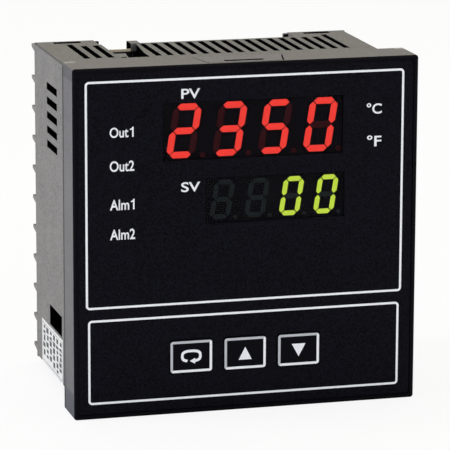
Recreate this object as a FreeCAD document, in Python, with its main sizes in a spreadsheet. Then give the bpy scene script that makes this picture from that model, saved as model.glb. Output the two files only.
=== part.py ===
"""Panel-mounted temperature controller, 96 mm square front, millimetres.

Frame: +X to the right seen from the front, +Y towards the rear, +Z up. The origin is the
centre of the plane where the front frame's rear ring seats on a panel (y = 0).
"""
import FreeCAD, Part
import os
import re

# name of the size: (value in mm or a plain count, what it is)
SIZE_TABLE = {
    "bezel_side": (96.0, "side of the square front frame"),
    "bezel_depth": (12.4, "front frame, from the panel to its front"),
    "bezel_corner": (0.8, "radius of the front frame's four corners"),
    "bezel_bevel": (0.4, "bevel round the front outline"),
    "rim_width": (1.15, "raised rim round the printed film"),
    "recess_depth": (0.6, "depth of the film's recess behind the rim"),
    "film_thick": (0.3, "printed front film"),
    "film_gap": (0.15, "gap between film and rim"),
    "film_corner": (0.7, "corner radius of the film and its recess"),
    "plate_thick": (2.4, "front plate behind the film"),
    "frame_reach": (2.6, "the front frame stands out this far round the case"),
    "case_wall": (2.0, "wall of the rear case"),
    "case_bevel": (0.4, "bevel along the case's long edges"),
    "case_fit": (0.25, "gap between case and front frame"),
    "mouth_gap": (0.8, "gap between the case's mouth and the front plate"),
    "case_depth": (48.0, "from the panel to the rear of the terminal columns"),
    "column_width": (16.9, "width of each terminal column"),
    "column_wall": (1.5, "inner wall of a terminal column"),
    "middle_recess": (7.7, "the rear's middle lies this far in front of the columns"),
    "tongue_rear": (25.0, "width of the release tongue at the panel"),
    "tongue_front": (20.2, "width of the release tongue at its tip"),
    "tongue_lip": (1.1, "frame lip left in front of the tongue"),
    "tongue_gap": (0.4, "gap round the tongue"),
    "tongue_round": (1.2, "rounding of the tongue's rear edge"),
    "lever_width": (11.0, "screwdriver slot in the tongue, long way"),
    "lever_length": (2.0, "screwdriver slot, short way"),
    "lever_place": (8.4, "screwdriver slot, distance in front of the panel"),
    "lever_depth": (1.6, "screwdriver slot, depth"),
    "vent_width": (1.8, "top and bottom vent slots"),
    "vent_front": (18.4, "front end of the vent slots"),
    "vent_rim": (1.2, "edge left behind the vent slots"),
    "vent_extra": (3.0, "the outermost vent slots reach this much further back"),
    "vent_left": (3, "slots left of the clamp opening"),
    "vent_right": (17, "slots right of the clamp opening"),
    "vent_left_gap": (2.0, "first slot left of the clamp opening, middle from its side"),
    "vent_right_gap": (2.9, "first slot right of the clamp opening, middle from its side"),
    "vent_margin": (8.0, "last slot on the right, middle inwards of the case's side"),
    "clamp_inset": (0.5, "clamp opening, inwards of the left column"),
    "clamp_width": (8.5, "clamp opening, width"),
    "clamp_length": (16.1, "clamp opening, front to rear"),
    "clamp_flare": (1.6, "clamp opening, wider by this much behind the rear wall"),
    "clamp_drop": (4.9, "clamp opening, depth of the notch in the rear wall"),
    "nook_width": (6.1, "narrower hole in front of the clamp opening, at its front"),
    "nook_taper": (0.8, "that hole is narrower by this much at its rear"),
    "nook_length": (6.9, "that hole, front to rear"),
    "slit_width": (1.55, "small slit beside that hole"),
    "slit_gap": (0.35, "web between the slit and that hole"),
    "slit_length": (1.3, "small slit, front to rear"),
    "hook_width": (2.9, "clamp hook block on the rear wall"),
    "hook_inset": (0.3, "how far the hook block stands into the clamp opening"),
    "hook_reach": (3.7, "how far the hook block stands behind the rear wall"),
    "hook_height": (7.4, "how far the hook block reaches down"),
    "hook_raise": (0.1, "how far the hook block stands out of the case's top"),
    "guide_wall": (1.0, "guide wall beside the clamp opening"),
    "guide_height": (2.4, "guide wall, height"),
    "louver_height": (2.1, "side vent slots"),
    "louver_pitch": (4.07, "spacing of the side vent slots"),
    "louver_count": (5, "side vent slots on each side"),
    "louver_drop": (8.35, "top edge of the highest side slot, below the case's top"),
    "louver_front": (18.9, "side slots, front end"),
    "louver_length": (13.1, "side slots, length"),
    "window_gap": (0.6, "side window, above the side label"),
    "window_height": (5.8, "side window, height"),
    "window_front": (14.5, "side window, front end"),
    "window_length": (15.7, "side window, length"),
    "rear_slot_height": (1.8, "vent slots in the rear wall"),
    "rear_slot_width": (30.0, "vent slots in the rear wall, width"),
    "rear_slot_pitch": (6.0, "vent slots in the rear wall, spacing"),
    "rear_slot_count": (9, "vent slots in the rear wall, number"),
    "tag_front": (12.9, "side label, front edge"),
    "tag_length": (27.3, "side label, length"),
    "tag_height": (12.5, "side label, height"),
    "tag_inset": (0.6, "side label, above the case's lower edge"),
    "tag_thick": (0.15, "side label, thickness"),
    "terminal_count": (10, "terminals in each column"),
    "fin_first_gap": (9.8, "top of the second barrier fin, below the case's top"),
    "fin_last_gap": (3.24, "top of the last barrier fin, above the case's bottom"),
    "fin_top_drop": (0.8, "top of the first barrier fin, below the case's top"),
    "fin_reach": (3.9, "barrier fins, how far they stand behind the case"),
    "fin_root": (1.7, "barrier fins, thickness at the root"),
    "fin_tip": (0.9, "barrier fins, thickness at the tip"),
    "flange_thick": (1.2, "rear flange of a terminal block"),
    "ear_reach": (1.4, "ear of the flange, how far it stands inwards of its column"),
    "ear_drop": (0.3, "ear of the flange, its ends below the case's top and above its bottom"),
    "block_depth": (4.2, "how far a terminal block reaches into its column"),
    "block_gap": (0.2, "gap between a terminal block and its column"),
    "snap_width": (7.8, "snap window in the case"),
    "snap_length": (2.6, "snap window, front to rear"),
    "snap_shift": (0.4, "snap window, inwards of the column's middle"),
    "snap_gap": (0.2, "gap round a snap nib"),
    "nib_reach": (0.6, "snap nib, how far it stands into its window"),
    "metal_thick": (0.6, "terminal contact tail"),
    "metal_plate": (1.0, "terminal clamp plate"),
    "plate_reach": (9.4, "terminal clamp plate, width"),
    "plate_play": (0.25, "gap between a clamp plate and its barrier fins"),
    "tail_height": (4.0, "contact tail, height"),
    "tail_overlap": (3.0, "how far a contact tail reaches over its board"),
    "tail_gap": (0.1, "gap between a contact tail and its board"),
    "screw_shift": (1.25, "terminal screws, outwards of the column's middle"),
    "head_play": (0.3, "gap between a terminal screw's head and its barrier fins"),
    "screw_head_height": (2.2, "terminal screw, head height"),
    "screw_shank": (1.5, "terminal screw, shank radius"),
    "screw_length": (6.0, "terminal screw, shank length under the head"),
    "screw_gap": (0.2, "gap round a screw's shank"),
    "screw_slot": (0.8, "drive slots of a screw's head, width"),
    "drive_share": (1.3, "drive slots, length as a share of the head's radius"),
    "post_length": (6.5, "posts behind the front plate"),
    "post_root": (0.6, "posts, how deep they start inside the front plate"),
    "post_radius": (3.0, "posts, radius"),
    "post_inset": (4.8, "posts, inwards of the case's inside"),
    "board_thick": (1.6, "circuit boards"),
    "board_margin": (1.9, "gap between the display board and the case's inside"),
    "board_inset": (3.8, "side boards, outwards of the columns' inner walls"),
    "board_rear_gap": (3.1, "gap between a side board and its terminal block"),
    "side_board_play": (0.8, "gap between a side board's edges and the case"),
    "rail_gap": (0.3, "gap between a side board and its rails"),
    "rail_thick": (1.2, "board rails inside the case"),
    "rail_height": (2.4, "board rails, height"),
    "rail_front": (3.0, "board rails, front end"),
    "rail_length": (13.0, "board rails, length"),
    "post_screw_head": (2.5, "display board screw, head radius"),
    "post_screw_head_height": (2.0, "display board screw, head height"),
    "post_screw_shank": (1.2, "display board screw, shank radius"),
    "post_screw_length": (5.0, "display board screw, shank length"),
    "post_screw_gap": (0.1, "gap round a display board screw's shank"),
    "module_face": (0.9, "display modules, front below the film's rear"),
    "module_gap": (0.4, "gap between a display module and the front plate"),
    "pv_across": (1.8, "upper display, middle"),
    "pv_drop": (18.1, "upper display, middle below the front frame's top"),
    "pv_width": (50.8, "upper display module"),
    "pv_height": (19.0, "upper display module"),
    "window_side": (0.3, "the film covers this much of a display module's sides"),
    "pv_cover": (1.5, "the film covers this much of the upper module's top and bottom"),
    "pv_digit_margin": (0.05, "upper display, from its side to the first digit's place"),
    "pv_digit_gap": (6.6, "upper display, from one digit's upright stroke to the next digit's"),
    "pv_digit_edge": (3.0, "upper display, from its top to a digit's top stroke"),
    "pv_stroke": (1.75, "upper display, stroke"),
    "pv_dot_inset": (0.1, "upper display, decimal point from the end of its digit's place"),
    "sv_across": (8.0, "lower display, middle"),
    "sv_step": (19.3, "lower display, middle below the upper one's"),
    "sv_width": (39.6, "lower display module"),
    "sv_height": (14.0, "lower display module"),
    "sv_cover": (0.7, "the film covers this much of the lower module's top and bottom"),
    "sv_digit_margin": (0.4, "lower display, from its side to the first digit's place"),
    "sv_digit_gap": (5.3, "lower display, from one digit's upright stroke to the next digit's"),
    "sv_digit_edge": (2.3, "lower display, from its top to a digit's top stroke"),
    "sv_stroke": (1.3, "lower display, stroke"),
    "sv_dot_inset": (0.45, "lower display, decimal point from the end of its digit's place"),
    "dot_drop": (0.3, "decimal points, middle below the bottom strokes' middle"),
    "dot_share": (0.42, "decimal points, radius as a share of their display's stroke"),
    "digit_slant": (0.158, "digits lean right by this much for each mm up"),
    "stroke_gap": (0.2, "gap between neighbouring strokes"),
    "stroke_raise": (0.15, "strokes stand this far in front of their module"),
    "lens_side": (1.3, "display lens, beyond the upper module on each side"),
    "lens_edge": (0.8, "display lens, above the upper module and below the lower one"),
    "lens_thick": (0.65, "display lens behind the film"),
    "lens_gap": (0.1, "gap round the display lens"),
    "led_radius": (1.5, "indicator lamps"),
    "led_gap": (0.15, "gap round an indicator lamp"),
    "led_length": (5.3, "indicator lamp, body length"),
    "led_sink": (0.3, "indicator lamp, tip below the film"),
    "led_leg": (0.6, "indicator lamp, leg width"),
    "lamp_left": (3.5, "left lamps, beside the display lens"),
    "lamp_right": (2.7, "right lamps, beside the display lens"),
    "lamp_row_a": (0.6, "first output lamp, above the upper display's middle"),
    "lamp_row_b": (8.6, "second output lamp, below the upper display's middle"),
    "lamp_row_c": (0.3, "first alarm lamp, above the lower display's middle"),
    "lamp_row_d": (7.8, "second alarm lamp, below the lower display's middle"),
    "unit_row_a": (3.9, "first unit lamp, above the upper display's middle"),
    "unit_row_b": (5.0, "second unit lamp, below the upper display's middle"),
    "key_width": (12.1, "keys"),
    "key_height": (9.4, "keys"),
    "key_corner": (1.1, "keys, corner radius"),
    "key_round": (0.25, "keys, rounding of the front edge"),
    "key_raise": (0.3, "keys, how far they stand out of the film"),
    "key_gap": (0.15, "gap round a key"),
    "key_pitch": (15.15, "spacing of the keys"),
    "key_across": (0.35, "middle key, left of centre"),
    "key_rise": (15.85, "keys, middle above the front frame's bottom"),
    "key_flange": (0.8, "keys, rear flange thickness"),
    "key_flange_reach": (0.8, "keys, how far the flange stands out"),
    "key_play": (0.05, "gap between a key's flange and the front plate"),
    "key_stem": (3.0, "keys, stem side"),
    "switch_side": (6.0, "switches under the keys"),
    "switch_height": (3.4, "switch bodies, height"),
    "plunger_radius": (1.7, "switch plunger"),
    "plunger_gap": (0.05, "gap round a switch plunger"),
    "plunger_raise": (1.1, "switch plunger, how far it stands out"),
    "plunger_sink": (0.7, "switch plunger, length inside the switch"),
    "plunger_room": (0.7, "free depth behind a switch plunger"),
    "coil_stand": (3.0, "transformer coil, off its board"),
    "coil_width": (12.6, "transformer coil, across"),
    "coil_top_gap": (3.0, "gap between the coil and the case's top"),
    "coil_height": (19.5, "transformer coil, height"),
    "coil_length": (21.6, "transformer coil, front to rear"),
    "coil_rear_gap": (0.8, "gap between the coil and the rear wall"),
    "core_side": (1.0, "transformer core, beyond the coil"),
    "core_inset": (4.5, "transformer core, behind the coil's front end"),
    "core_length": (12.5, "transformer core, front to rear"),
    "core_drop": (2.0, "core top below the coil's top, and core bottom below the coil"),
    "relay_reach": (15.3, "relays, height off their board"),
    "relay_front_gap": (6.8, "gap between a board header and the relays"),
    "relay_height": (15.5, "relays, up and down"),
    "relay_inset": (6.5, "relays, in front of their board's rear edge"),
    "relay_gap": (4.9, "gap between the upper relay and the transformer"),
    "relay_pitch": (18.5, "relays, spacing"),
    "can_radius": (5.0, "capacitors"),
    "can_length": (16.0, "capacitors, length"),
    "can_inset": (14.0, "rear capacitors, in front of their board's rear edge"),
    "can_pitch": (12.5, "capacitors, spacing"),
    "can_drop": (16.4, "capacitors, inwards of the case's top and bottom"),
    "chip_side": (12.0, "processor chip"),
    "chip_thick": (1.5, "processor chip, thickness"),
    "header_reach": (2.5, "board headers, thickness"),
    "header_length": (8.5, "board headers, front to rear"),
    "header_height": (30.0, "board headers, height"),
    "sheet_thick": (0.4, "insulating sheet in front of the rear wall"),
    "sheet_gap": (0.2, "gap beside the insulating sheet"),
    "sheet_drop": (1.2, "top of the insulating sheet, below the case's top"),
    "sheet_height": (8.0, "insulating sheet, height"),
}

DIGITS_LIT = {"0": "abcdef", "2": "abdeg", "3": "abcdg", "5": "acdfg", " ": ""}
PV_READING = "2350"
SV_READING = "  00"

# places along y, in the words of the table
FRONT = "(-bezel_depth)"
FILM_REAR = "(-bezel_depth + recess_depth)"
FILM_FRONT = "(-bezel_depth + recess_depth - film_thick)"
PLATE_REAR = "(-bezel_depth + recess_depth + plate_thick)"
MOUTH = "(-bezel_depth + recess_depth + plate_thick + mouth_gap)"
BOARD_FRONT = "(-bezel_depth + recess_depth + plate_thick + post_length)"
BOARD_REAR = "(-bezel_depth + recess_depth + plate_thick + post_length + board_thick)"
HEADER_REAR = "(%s + header_length)" % BOARD_REAR
MODULE_FACE = "(-bezel_depth + recess_depth + module_face)"
COLUMN_END = "(case_depth - flange_thick)"
WALL_REAR = "(case_depth - middle_recess)"
WALL_FRONT = "(case_depth - middle_recess - case_wall)"
# half widths, from the middle outwards
BEZEL_HALF = "(bezel_side / 2)"
CASE_HALF = "(bezel_side / 2 - frame_reach)"
INNER_HALF = "(bezel_side / 2 - frame_reach - case_wall)"
RECESS_HALF = "(bezel_side / 2 - rim_width)"
COLUMN_INNER = "(bezel_side / 2 - frame_reach - column_width)"
COLUMN_MIDDLE = "(bezel_side / 2 - frame_reach - column_width / 2)"
BAY_INNER = "(%s + column_wall)" % COLUMN_INNER
POST_PLACE = "(%s - post_inset)" % INNER_HALF
# side boards and the metal that reaches them
SIDE_INNER = "(%s + board_inset)" % BAY_INNER
SIDE_OUTER = "(%s + board_thick)" % SIDE_INNER
SIDE_REAR = "(%s - block_depth - board_rear_gap)" % COLUMN_END
TAIL_OUTER = "(%s - tail_gap)" % SIDE_INNER
TAIL_INNER = "(%s - metal_thick)" % TAIL_OUTER
TAG_TOP = "(tag_inset + tag_height - %s)" % CASE_HALF
# terminals
TERMINAL_PITCH = "((2 * %s - fin_first_gap - fin_last_gap) / (terminal_count - 1))" % CASE_HALF
SNAP_PLACE = "(%s - snap_shift)" % COLUMN_MIDDLE
SCREW_PLACE = "(%s + screw_shift)" % COLUMN_MIDDLE
CELL_HEIGHT = "(%s - fin_root)" % TERMINAL_PITCH
# front, heights and ends
PV_UP = "(bezel_side / 2 - pv_drop)"
SV_UP = "(bezel_side / 2 - pv_drop - sv_step)"
KEY_UP = "(key_rise - bezel_side / 2)"
DISPLAYS = {"pv": PV_UP, "sv": SV_UP}
LENS_LEFT = "(pv_across - pv_width / 2 - lens_side)"
LENS_RIGHT = "(pv_across + pv_width / 2 + lens_side)"
LENS_TOP = "(%s + pv_height / 2 + lens_edge)" % PV_UP
LENS_LOW = "(%s - sv_height / 2 - lens_edge)" % SV_UP
# clamp opening and vents in the top
CLAMP_LOW = "(clamp_inset - %s)" % COLUMN_INNER
CLAMP_HIGH = "(%s + clamp_width)" % CLAMP_LOW
CLAMP_FRONT = "(%s - clamp_length)" % WALL_REAR
NOOK_FRONT = "(%s - nook_length)" % CLAMP_FRONT
VENT_FIRST = "(%s + vent_right_gap)" % CLAMP_HIGH
VENT_PITCH = "((%s - vent_margin - %s) / (vent_right - 1))" % (CASE_HALF, VENT_FIRST)
# transformer
COIL_X = ("(coil_stand - %s)" % SIDE_INNER, "(coil_stand + coil_width - %s)" % SIDE_INNER)
COIL_TOP = "(%s - coil_top_gap)" % INNER_HALF
COIL_LOW = "(%s - coil_height)" % COIL_TOP
COIL_REAR = "(%s - coil_rear_gap)" % WALL_FRONT
COIL_FRONT = "(%s - coil_length)" % COIL_REAR
CORE_LOW = "(%s - core_drop)" % COIL_LOW
BEYOND = "1"
THROUGH_WALL = (INNER_HALF + " - " + BEYOND, CASE_HALF + " + " + BEYOND)

doc = FreeCAD.newDocument("temperature_controller")
sheet = doc.addObject("Spreadsheet::Sheet", "Sizes")
for row, (size_name, (size, meaning)) in enumerate(SIZE_TABLE.items(), 1):
    sheet.set("A%d" % row, size_name)
    sheet.set("B%d" % row, str(size))
    sheet.set("C%d" % row, meaning)
    sheet.setAlias("B%d" % row, size_name)
doc.recompute()

SIZE_WORD = re.compile("[a-z][a-z_]+")
sub_parts = []


def formula(text):
    """The same text with each size's name pointed at its cell."""
    return SIZE_WORD.sub(lambda word: "Sizes." + word.group(0) if word.group(0) in SIZE_TABLE
                         else word.group(0), text)


def bind(item, **texts):
    """Tie the item's properties to the sheet; a double underscore stands for a dot."""
    for name, text in texts.items():
        item.setExpression(name.replace("__", "."), formula(text))
    return item


def size_of(name):
    return float(sheet.get(name))


def count_of(name):
    return int(round(size_of(name)))


def keep(item, label):
    """Hold the item as one sub-part under its own name."""
    item.Label = label
    sub_parts.append(item)
    return item


def span(item, x, y, z):
    """Give a box its sides from three pairs of low and high ends."""
    return bind(item, Length="%s - (%s)" % (x[1], x[0]), Width="%s - (%s)" % (y[1], y[0]),
                Height="%s - (%s)" % (z[1], z[0]),
                Placement__Base__x=x[0], Placement__Base__y=y[0], Placement__Base__z=z[0])


def both(text):
    """From minus to plus the same distance."""
    return "-(%s)" % text, text


def about(middle, width):
    """A stretch of the given width about its middle."""
    return "%s - (%s) / 2" % (middle, width), "%s + (%s) / 2" % (middle, width)


def sided(side, near, far):
    """A stretch on the right (side 1) or its mirror image on the left (side -1)."""
    if side > 0:
        return near, far
    return "-(%s)" % far, "-(%s)" % near


def new_body(label):
    return keep(doc.addObject("PartDesign::Body", label), label)


def axis_of(body, role):
    return next(item for item in body.Origin.OriginFeatures if item.Role == role)


def add_box(body, name, x, y, z):
    return span(body.newObject("PartDesign::AdditiveBox", name), x, y, z)


def cut_box(body, name, x, y, z):
    return span(body.newObject("PartDesign::SubtractiveBox", name), x, y, z)


def along_y(item, radius, x, z, y):
    """Turn a cylinder to run along y and tie it to the sheet."""
    item.Placement = FreeCAD.Placement(FreeCAD.Vector(), FreeCAD.Rotation(FreeCAD.Vector(1, 0, 0), -90))
    return bind(item, Radius=radius, Height="%s - (%s)" % (y[1], y[0]), Placement__Base__x=x,
                Placement__Base__y=y[0], Placement__Base__z=z)


def along_x(item, radius, y, z, x):
    """Turn a cylinder to run along x and tie it to the sheet."""
    item.Placement = FreeCAD.Placement(FreeCAD.Vector(), FreeCAD.Rotation(FreeCAD.Vector(0, 1, 0), 90))
    return bind(item, Radius=radius, Height="%s - (%s)" % (x[1], x[0]), Placement__Base__x=x[0],
                Placement__Base__y=y, Placement__Base__z=z)


def repeat(body, feature, role, step, number):
    """A row of copies of a body's feature along one of its axes."""
    row = body.newObject("PartDesign::LinearPattern", feature.Name + "_row")
    row.Originals = [feature]
    row.Direction = (axis_of(body, role), [""])
    bind(row, Length="(%s) * (%s - 1)" % (step, number), Occurrences=number)
    body.Tip = row
    return row


def edges_where(shape, test):
    """Names of the straight edges that pass a test of direction, middle and the shape's own box."""
    names = []
    for number, edge in enumerate(shape.Edges, 1):
        if edge.Curve.TypeId != "Part::GeomLine":
            continue
        ends = [vertex.Point for vertex in edge.Vertexes]
        run = ends[1] - ends[0]
        if test(run.normalize(), (ends[0] + ends[1]) * 0.5, shape.BoundBox):
            names.append("Edge%d" % number)
    return names


def round_edges(body, name, radius, test, kind="Fillet"):
    """Round or bevel the edges of the body's last feature that pass the test."""
    doc.recompute()
    base = body.Tip
    feature = body.newObject("PartDesign::" + kind, name)
    feature.Base = (base, edges_where(base.Shape, test))
    return bind(feature, **{"Radius" if kind == "Fillet" else "Size": radius})


def plain_box(name, x, y, z):
    return span(doc.addObject("Part::Box", name), x, y, z)


def plain_rod(name, radius, x, z, y):
    return along_y(doc.addObject("Part::Cylinder", name), radius, x, z, y)


def fuse(items, name):
    joined = doc.addObject("Part::MultiFuse", name)
    joined.Shapes = items
    return joined


def gather(items, name):
    group = doc.addObject("Part::Compound", name)
    group.Links = items
    return group


def cut(base, tool, name):
    result = doc.addObject("Part::Cut", name)
    result.Base = base
    result.Tool = tool
    return result


def fin_top(number):
    """Height of a barrier fin's flat top."""
    if number == 0:
        return "(%s - fin_top_drop)" % CASE_HALF
    return "(%s - fin_first_gap - %d * %s)" % (CASE_HALF, number - 1, TERMINAL_PITCH)


def cell_middle(number):
    """Height of the middle of a terminal, between two barrier fins."""
    return "(%s - fin_first_gap - %d * %s + %s / 2)" % (CASE_HALF, number, TERMINAL_PITCH, CELL_HEIGHT)


def key_middle(number):
    return "(%d * key_pitch - key_across)" % (number - 1)


def turned(turn, low, high):
    """A stretch of the case's top (turn 1), or of its bottom, half a turn round y (turn -1)."""
    if turn > 0:
        return low, high
    return "-(%s)" % high, "-(%s)" % low


def add_clamp_place(body, turn, word):
    """Clamp opening with its hook block, guide wall and the smaller holes in front of it."""
    nook_low = "(%s - nook_width)" % CLAMP_HIGH
    slit_high = "(%s - slit_gap)" % nook_low
    hook_low = "(%s - hook_inset)" % CLAMP_HIGH
    through = turned(turn, *THROUGH_WALL)
    opening = body.newObject("PartDesign::SubtractiveWedge", word + "_clamp_opening")
    wedge_sizes(opening, turned(turn, CLAMP_LOW, CLAMP_HIGH),
                turned(turn, CLAMP_LOW, CLAMP_HIGH + " + clamp_flare"),
                (CLAMP_FRONT, WALL_REAR + " + " + BEYOND),
                turned(turn, CASE_HALF + " - clamp_drop", CASE_HALF + " + " + BEYOND))
    nook = body.newObject("PartDesign::SubtractiveWedge", word + "_nook")
    wedge_sizes(nook, turned(turn, nook_low, CLAMP_HIGH),
                turned(turn, nook_low + " + nook_taper", CLAMP_HIGH), (NOOK_FRONT, CLAMP_FRONT), through)
    cut_box(body, word + "_slit", turned(turn, slit_high + " - slit_width", slit_high),
            (NOOK_FRONT, NOOK_FRONT + " + slit_length"), through)
    add_box(body, word + "_guide", turned(turn, CLAMP_HIGH, CLAMP_HIGH + " + guide_wall"),
            (NOOK_FRONT, WALL_FRONT), turned(turn, INNER_HALF + " - guide_height", INNER_HALF))
    add_box(body, word + "_hook", turned(turn, hook_low, hook_low + " + hook_width"),
            (WALL_REAR + " - vent_rim", WALL_REAR + " + hook_reach"),
            turned(turn, CASE_HALF + " - hook_height", CASE_HALF + " + hook_raise"))


def vent_boxes():
    """Every vent slot of the case as a box: top, bottom, both sides and rear."""
    boxes = []
    left = ["(%s - vent_left_gap - %d * %s)" % (CLAMP_LOW, number, VENT_PITCH)
            for number in range(count_of("vent_left"))]
    right = ["(%s + %d * %s)" % (VENT_FIRST, number, VENT_PITCH) for number in range(count_of("vent_right"))]
    for turn, word in ((1, "top"), (-1, "bottom")):
        for number, middle in enumerate(left + right):
            rear = WALL_REAR + " - vent_rim" + (" + vent_extra" if middle in (left[-1], right[-1]) else "")
            boxes.append(plain_box("%s_vent_%d" % (word, number), turned(turn, *about(middle, "vent_width")),
                                   ("vent_front", rear), turned(turn, *THROUGH_WALL)))
    for side, word in ((-1, "left"), (1, "right")):
        for place in range(count_of("louver_count")):
            top = "(%s - louver_drop - %d * louver_pitch)" % (CASE_HALF, place)
            boxes.append(plain_box("%s_louver_%d" % (word, place), sided(side, *THROUGH_WALL),
                                   ("louver_front", "louver_front + louver_length"),
                                   (top + " - louver_height", top)))
    for place in range(count_of("rear_slot_count")):
        middle = "(rear_slot_pitch * (%d - (rear_slot_count - 1) / 2))" % place
        boxes.append(plain_box("rear_vent_%d" % place, about("0", "rear_slot_width"),
                               (WALL_FRONT + " - " + BEYOND, WALL_REAR + " + " + BEYOND),
                               about(middle, "rear_slot_height")))
    return boxes


def build_rear_case():
    body = doc.addObject("PartDesign::Body", "case_shell")
    add_box(body, "case_block", both(CASE_HALF), (MOUTH, COLUMN_END), both(CASE_HALF))
    round_edges(body, "case_long_edges", "case_bevel", lambda run, middle, box: abs(run.y) > 0.9, "Chamfer")
    cut_box(body, "chassis_bay", both(INNER_HALF), (MOUTH + " - " + BEYOND, WALL_FRONT), both(INNER_HALF))
    cut_box(body, "rear_recess", both(COLUMN_INNER), (WALL_REAR, "case_depth + " + BEYOND),
            both(CASE_HALF + " + " + BEYOND))
    for side, word in ((-1, "left"), (1, "right")):
        cut_box(body, word + "_column_bay", sided(side, BAY_INNER, INNER_HALF),
                (WALL_FRONT + " - " + BEYOND, "case_depth"), both(INNER_HALF))
    for turn, word in ((1, "top"), (-1, "bottom")):
        add_clamp_place(body, turn, word)
    add_tongue(body)
    for side, word in ((-1, "left"), (1, "right")):
        cut_box(body, word + "_window", sided(side, *THROUGH_WALL),
                ("window_front", "window_front + window_length"),
                (TAG_TOP + " + window_gap", TAG_TOP + " + window_gap + window_height"))
        for end, end_word in ((1, "upper"), (-1, "lower")):
            add_rails(body, side, word, end, end_word)
            cut_box(body, "%s_%s_snap" % (word, end_word),
                    sided(side, *about(SNAP_PLACE, "snap_width")),
                    (COLUMN_END + " - snap_length", COLUMN_END + " + " + BEYOND),
                    sided(end, *THROUGH_WALL))
    keep(cut(body, gather(vent_boxes(), "vents"), "rear_case"), "rear_case")


def add_rails(body, side, word, end, end_word):
    """Two ribs that hold the upper or lower edge of one side board between them."""
    height = sided(end, INNER_HALF + " - rail_height", INNER_HALF)
    run = ("rail_front", "rail_front + rail_length")
    inner = (SIDE_INNER + " - rail_gap - rail_thick", SIDE_INNER + " - rail_gap")
    outer = (SIDE_OUTER + " + rail_gap", SIDE_OUTER + " + rail_gap + rail_thick")
    add_box(body, "%s_%s_inner_rail" % (word, end_word), sided(side, *inner), run, height)
    add_box(body, "%s_%s_outer_rail" % (word, end_word), sided(side, *outer), run, height)


def wedge_sizes(item, front, rear, y, z):
    """A wedge along y whose stretch in x goes from the front one to the rear one."""
    return bind(item, Xmin=front[0], Xmax=front[1], X2min=rear[0], X2max=rear[1],
                Ymin=y[0], Ymax=y[1], Zmin=z[0], Zmax=z[1], Z2min=z[0], Z2max=z[1])


def add_tongue(body):
    """The release tongue: a flush tapered plate in the front frame's top, with a lever slot."""
    tongue = body.newObject("PartDesign::AdditiveWedge", "tongue")
    wedge_sizes(tongue, both("tongue_front / 2"), both("tongue_rear / 2"),
                (FRONT + " + tongue_lip + tongue_gap", "0"), (CASE_HALF + " - tongue_gap", BEZEL_HALF))
    round_edges(body, "tongue_edge", "tongue_round",
                lambda run, middle, box: abs(run.x) > 0.9 and abs(middle.y) < 0.01
                and abs(middle.z - box.ZMax) < 0.01)
    cut_box(body, "lever_slot", about("0", "lever_width"), about("-lever_place", "lever_length"),
            (BEZEL_HALF + " - lever_depth", BEZEL_HALF + " + " + BEYOND))


def build_terminal_block(side, word):
    body = new_body("terminal_block_" + word)
    add_box(body, word + "_flange", sided(side, COLUMN_INNER, CASE_HALF), (COLUMN_END, "case_depth"),
            both(CASE_HALF))
    add_box(body, word + "_ear", sided(side, COLUMN_INNER + " - ear_reach", COLUMN_INNER),
            (COLUMN_END, "case_depth"), both(CASE_HALF + " - ear_drop"))
    add_box(body, word + "_plug", sided(side, BAY_INNER + " + block_gap", INNER_HALF + " - block_gap"),
            (COLUMN_END + " - block_depth", COLUMN_END), both(INNER_HALF + " - block_gap"))
    for number in range(count_of("terminal_count") + 1):
        fin = body.newObject("PartDesign::AdditiveWedge", "%s_fin_%d" % (word, number))
        x = sided(side, COLUMN_INNER, CASE_HALF)
        bind(fin, Xmin=x[0], Xmax=x[1], X2min=x[0], X2max=x[1], Ymin="case_depth",
             Ymax="case_depth + fin_reach", Zmin=fin_top(number) + " - fin_root", Zmax=fin_top(number),
             Z2min=fin_top(number) + " - fin_tip", Z2max=fin_top(number))
    for end, end_word in ((1, "upper"), (-1, "lower")):
        nib_width = "snap_width - 2 * snap_gap"
        add_box(body, "%s_%s_nib" % (word, end_word), sided(side, *about(SNAP_PLACE, nib_width)),
                (COLUMN_END + " - snap_length + snap_gap", COLUMN_END),
                sided(end, INNER_HALF + " - block_gap", INNER_HALF + " + nib_reach"))
    lowest = cell_middle(count_of("terminal_count") - 1)
    hole = body.newObject("PartDesign::SubtractiveCylinder", word + "_screw_hole")
    along_y(hole, "screw_shank + screw_gap", "%d * %s" % (side, SCREW_PLACE), lowest,
            (COLUMN_END + " - block_depth - " + BEYOND, "case_depth + " + BEYOND))
    repeat(body, hole, "Z_Axis", TERMINAL_PITCH, "terminal_count")
    tail_slot = cut_box(body, word + "_tail_slot",
                        sided(side, TAIL_INNER + " - screw_gap", TAIL_OUTER + " + screw_gap"),
                        (COLUMN_END + " - block_depth - " + BEYOND, "case_depth + " + BEYOND),
                        about(lowest, "tail_height + 2 * screw_gap"))
    repeat(body, tail_slot, "Z_Axis", TERMINAL_PITCH, "terminal_count")


def build_terminal_plates(side, word):
    """Clamp plates on the block's rear face, each with a contact tail that reaches its board."""
    plates = []
    for number in range(count_of("terminal_count")):
        name = "%s_plate_%d" % (word, number)
        plate = plain_box(name, sided(side, TAIL_INNER, TAIL_INNER + " + plate_reach"),
                          ("case_depth", "case_depth + metal_plate"),
                          about(cell_middle(number), CELL_HEIGHT + " - 2 * plate_play"))
        tail = plain_box(name + "_tail", sided(side, TAIL_INNER, TAIL_OUTER),
                         (SIDE_REAR + " - tail_overlap", "case_depth"),
                         about(cell_middle(number), "tail_height"))
        hole = plain_rod(name + "_hole", "screw_shank + screw_gap", "%d * %s" % (side, SCREW_PLACE),
                         cell_middle(number),
                         ("case_depth - " + BEYOND, "case_depth + metal_plate + " + BEYOND))
        plates.append(cut(fuse([plate, tail], name + "_blank"), hole, name + "_bored"))
    keep(gather(plates, "terminal_plates_" + word), "terminal_plates_" + word)


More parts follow.
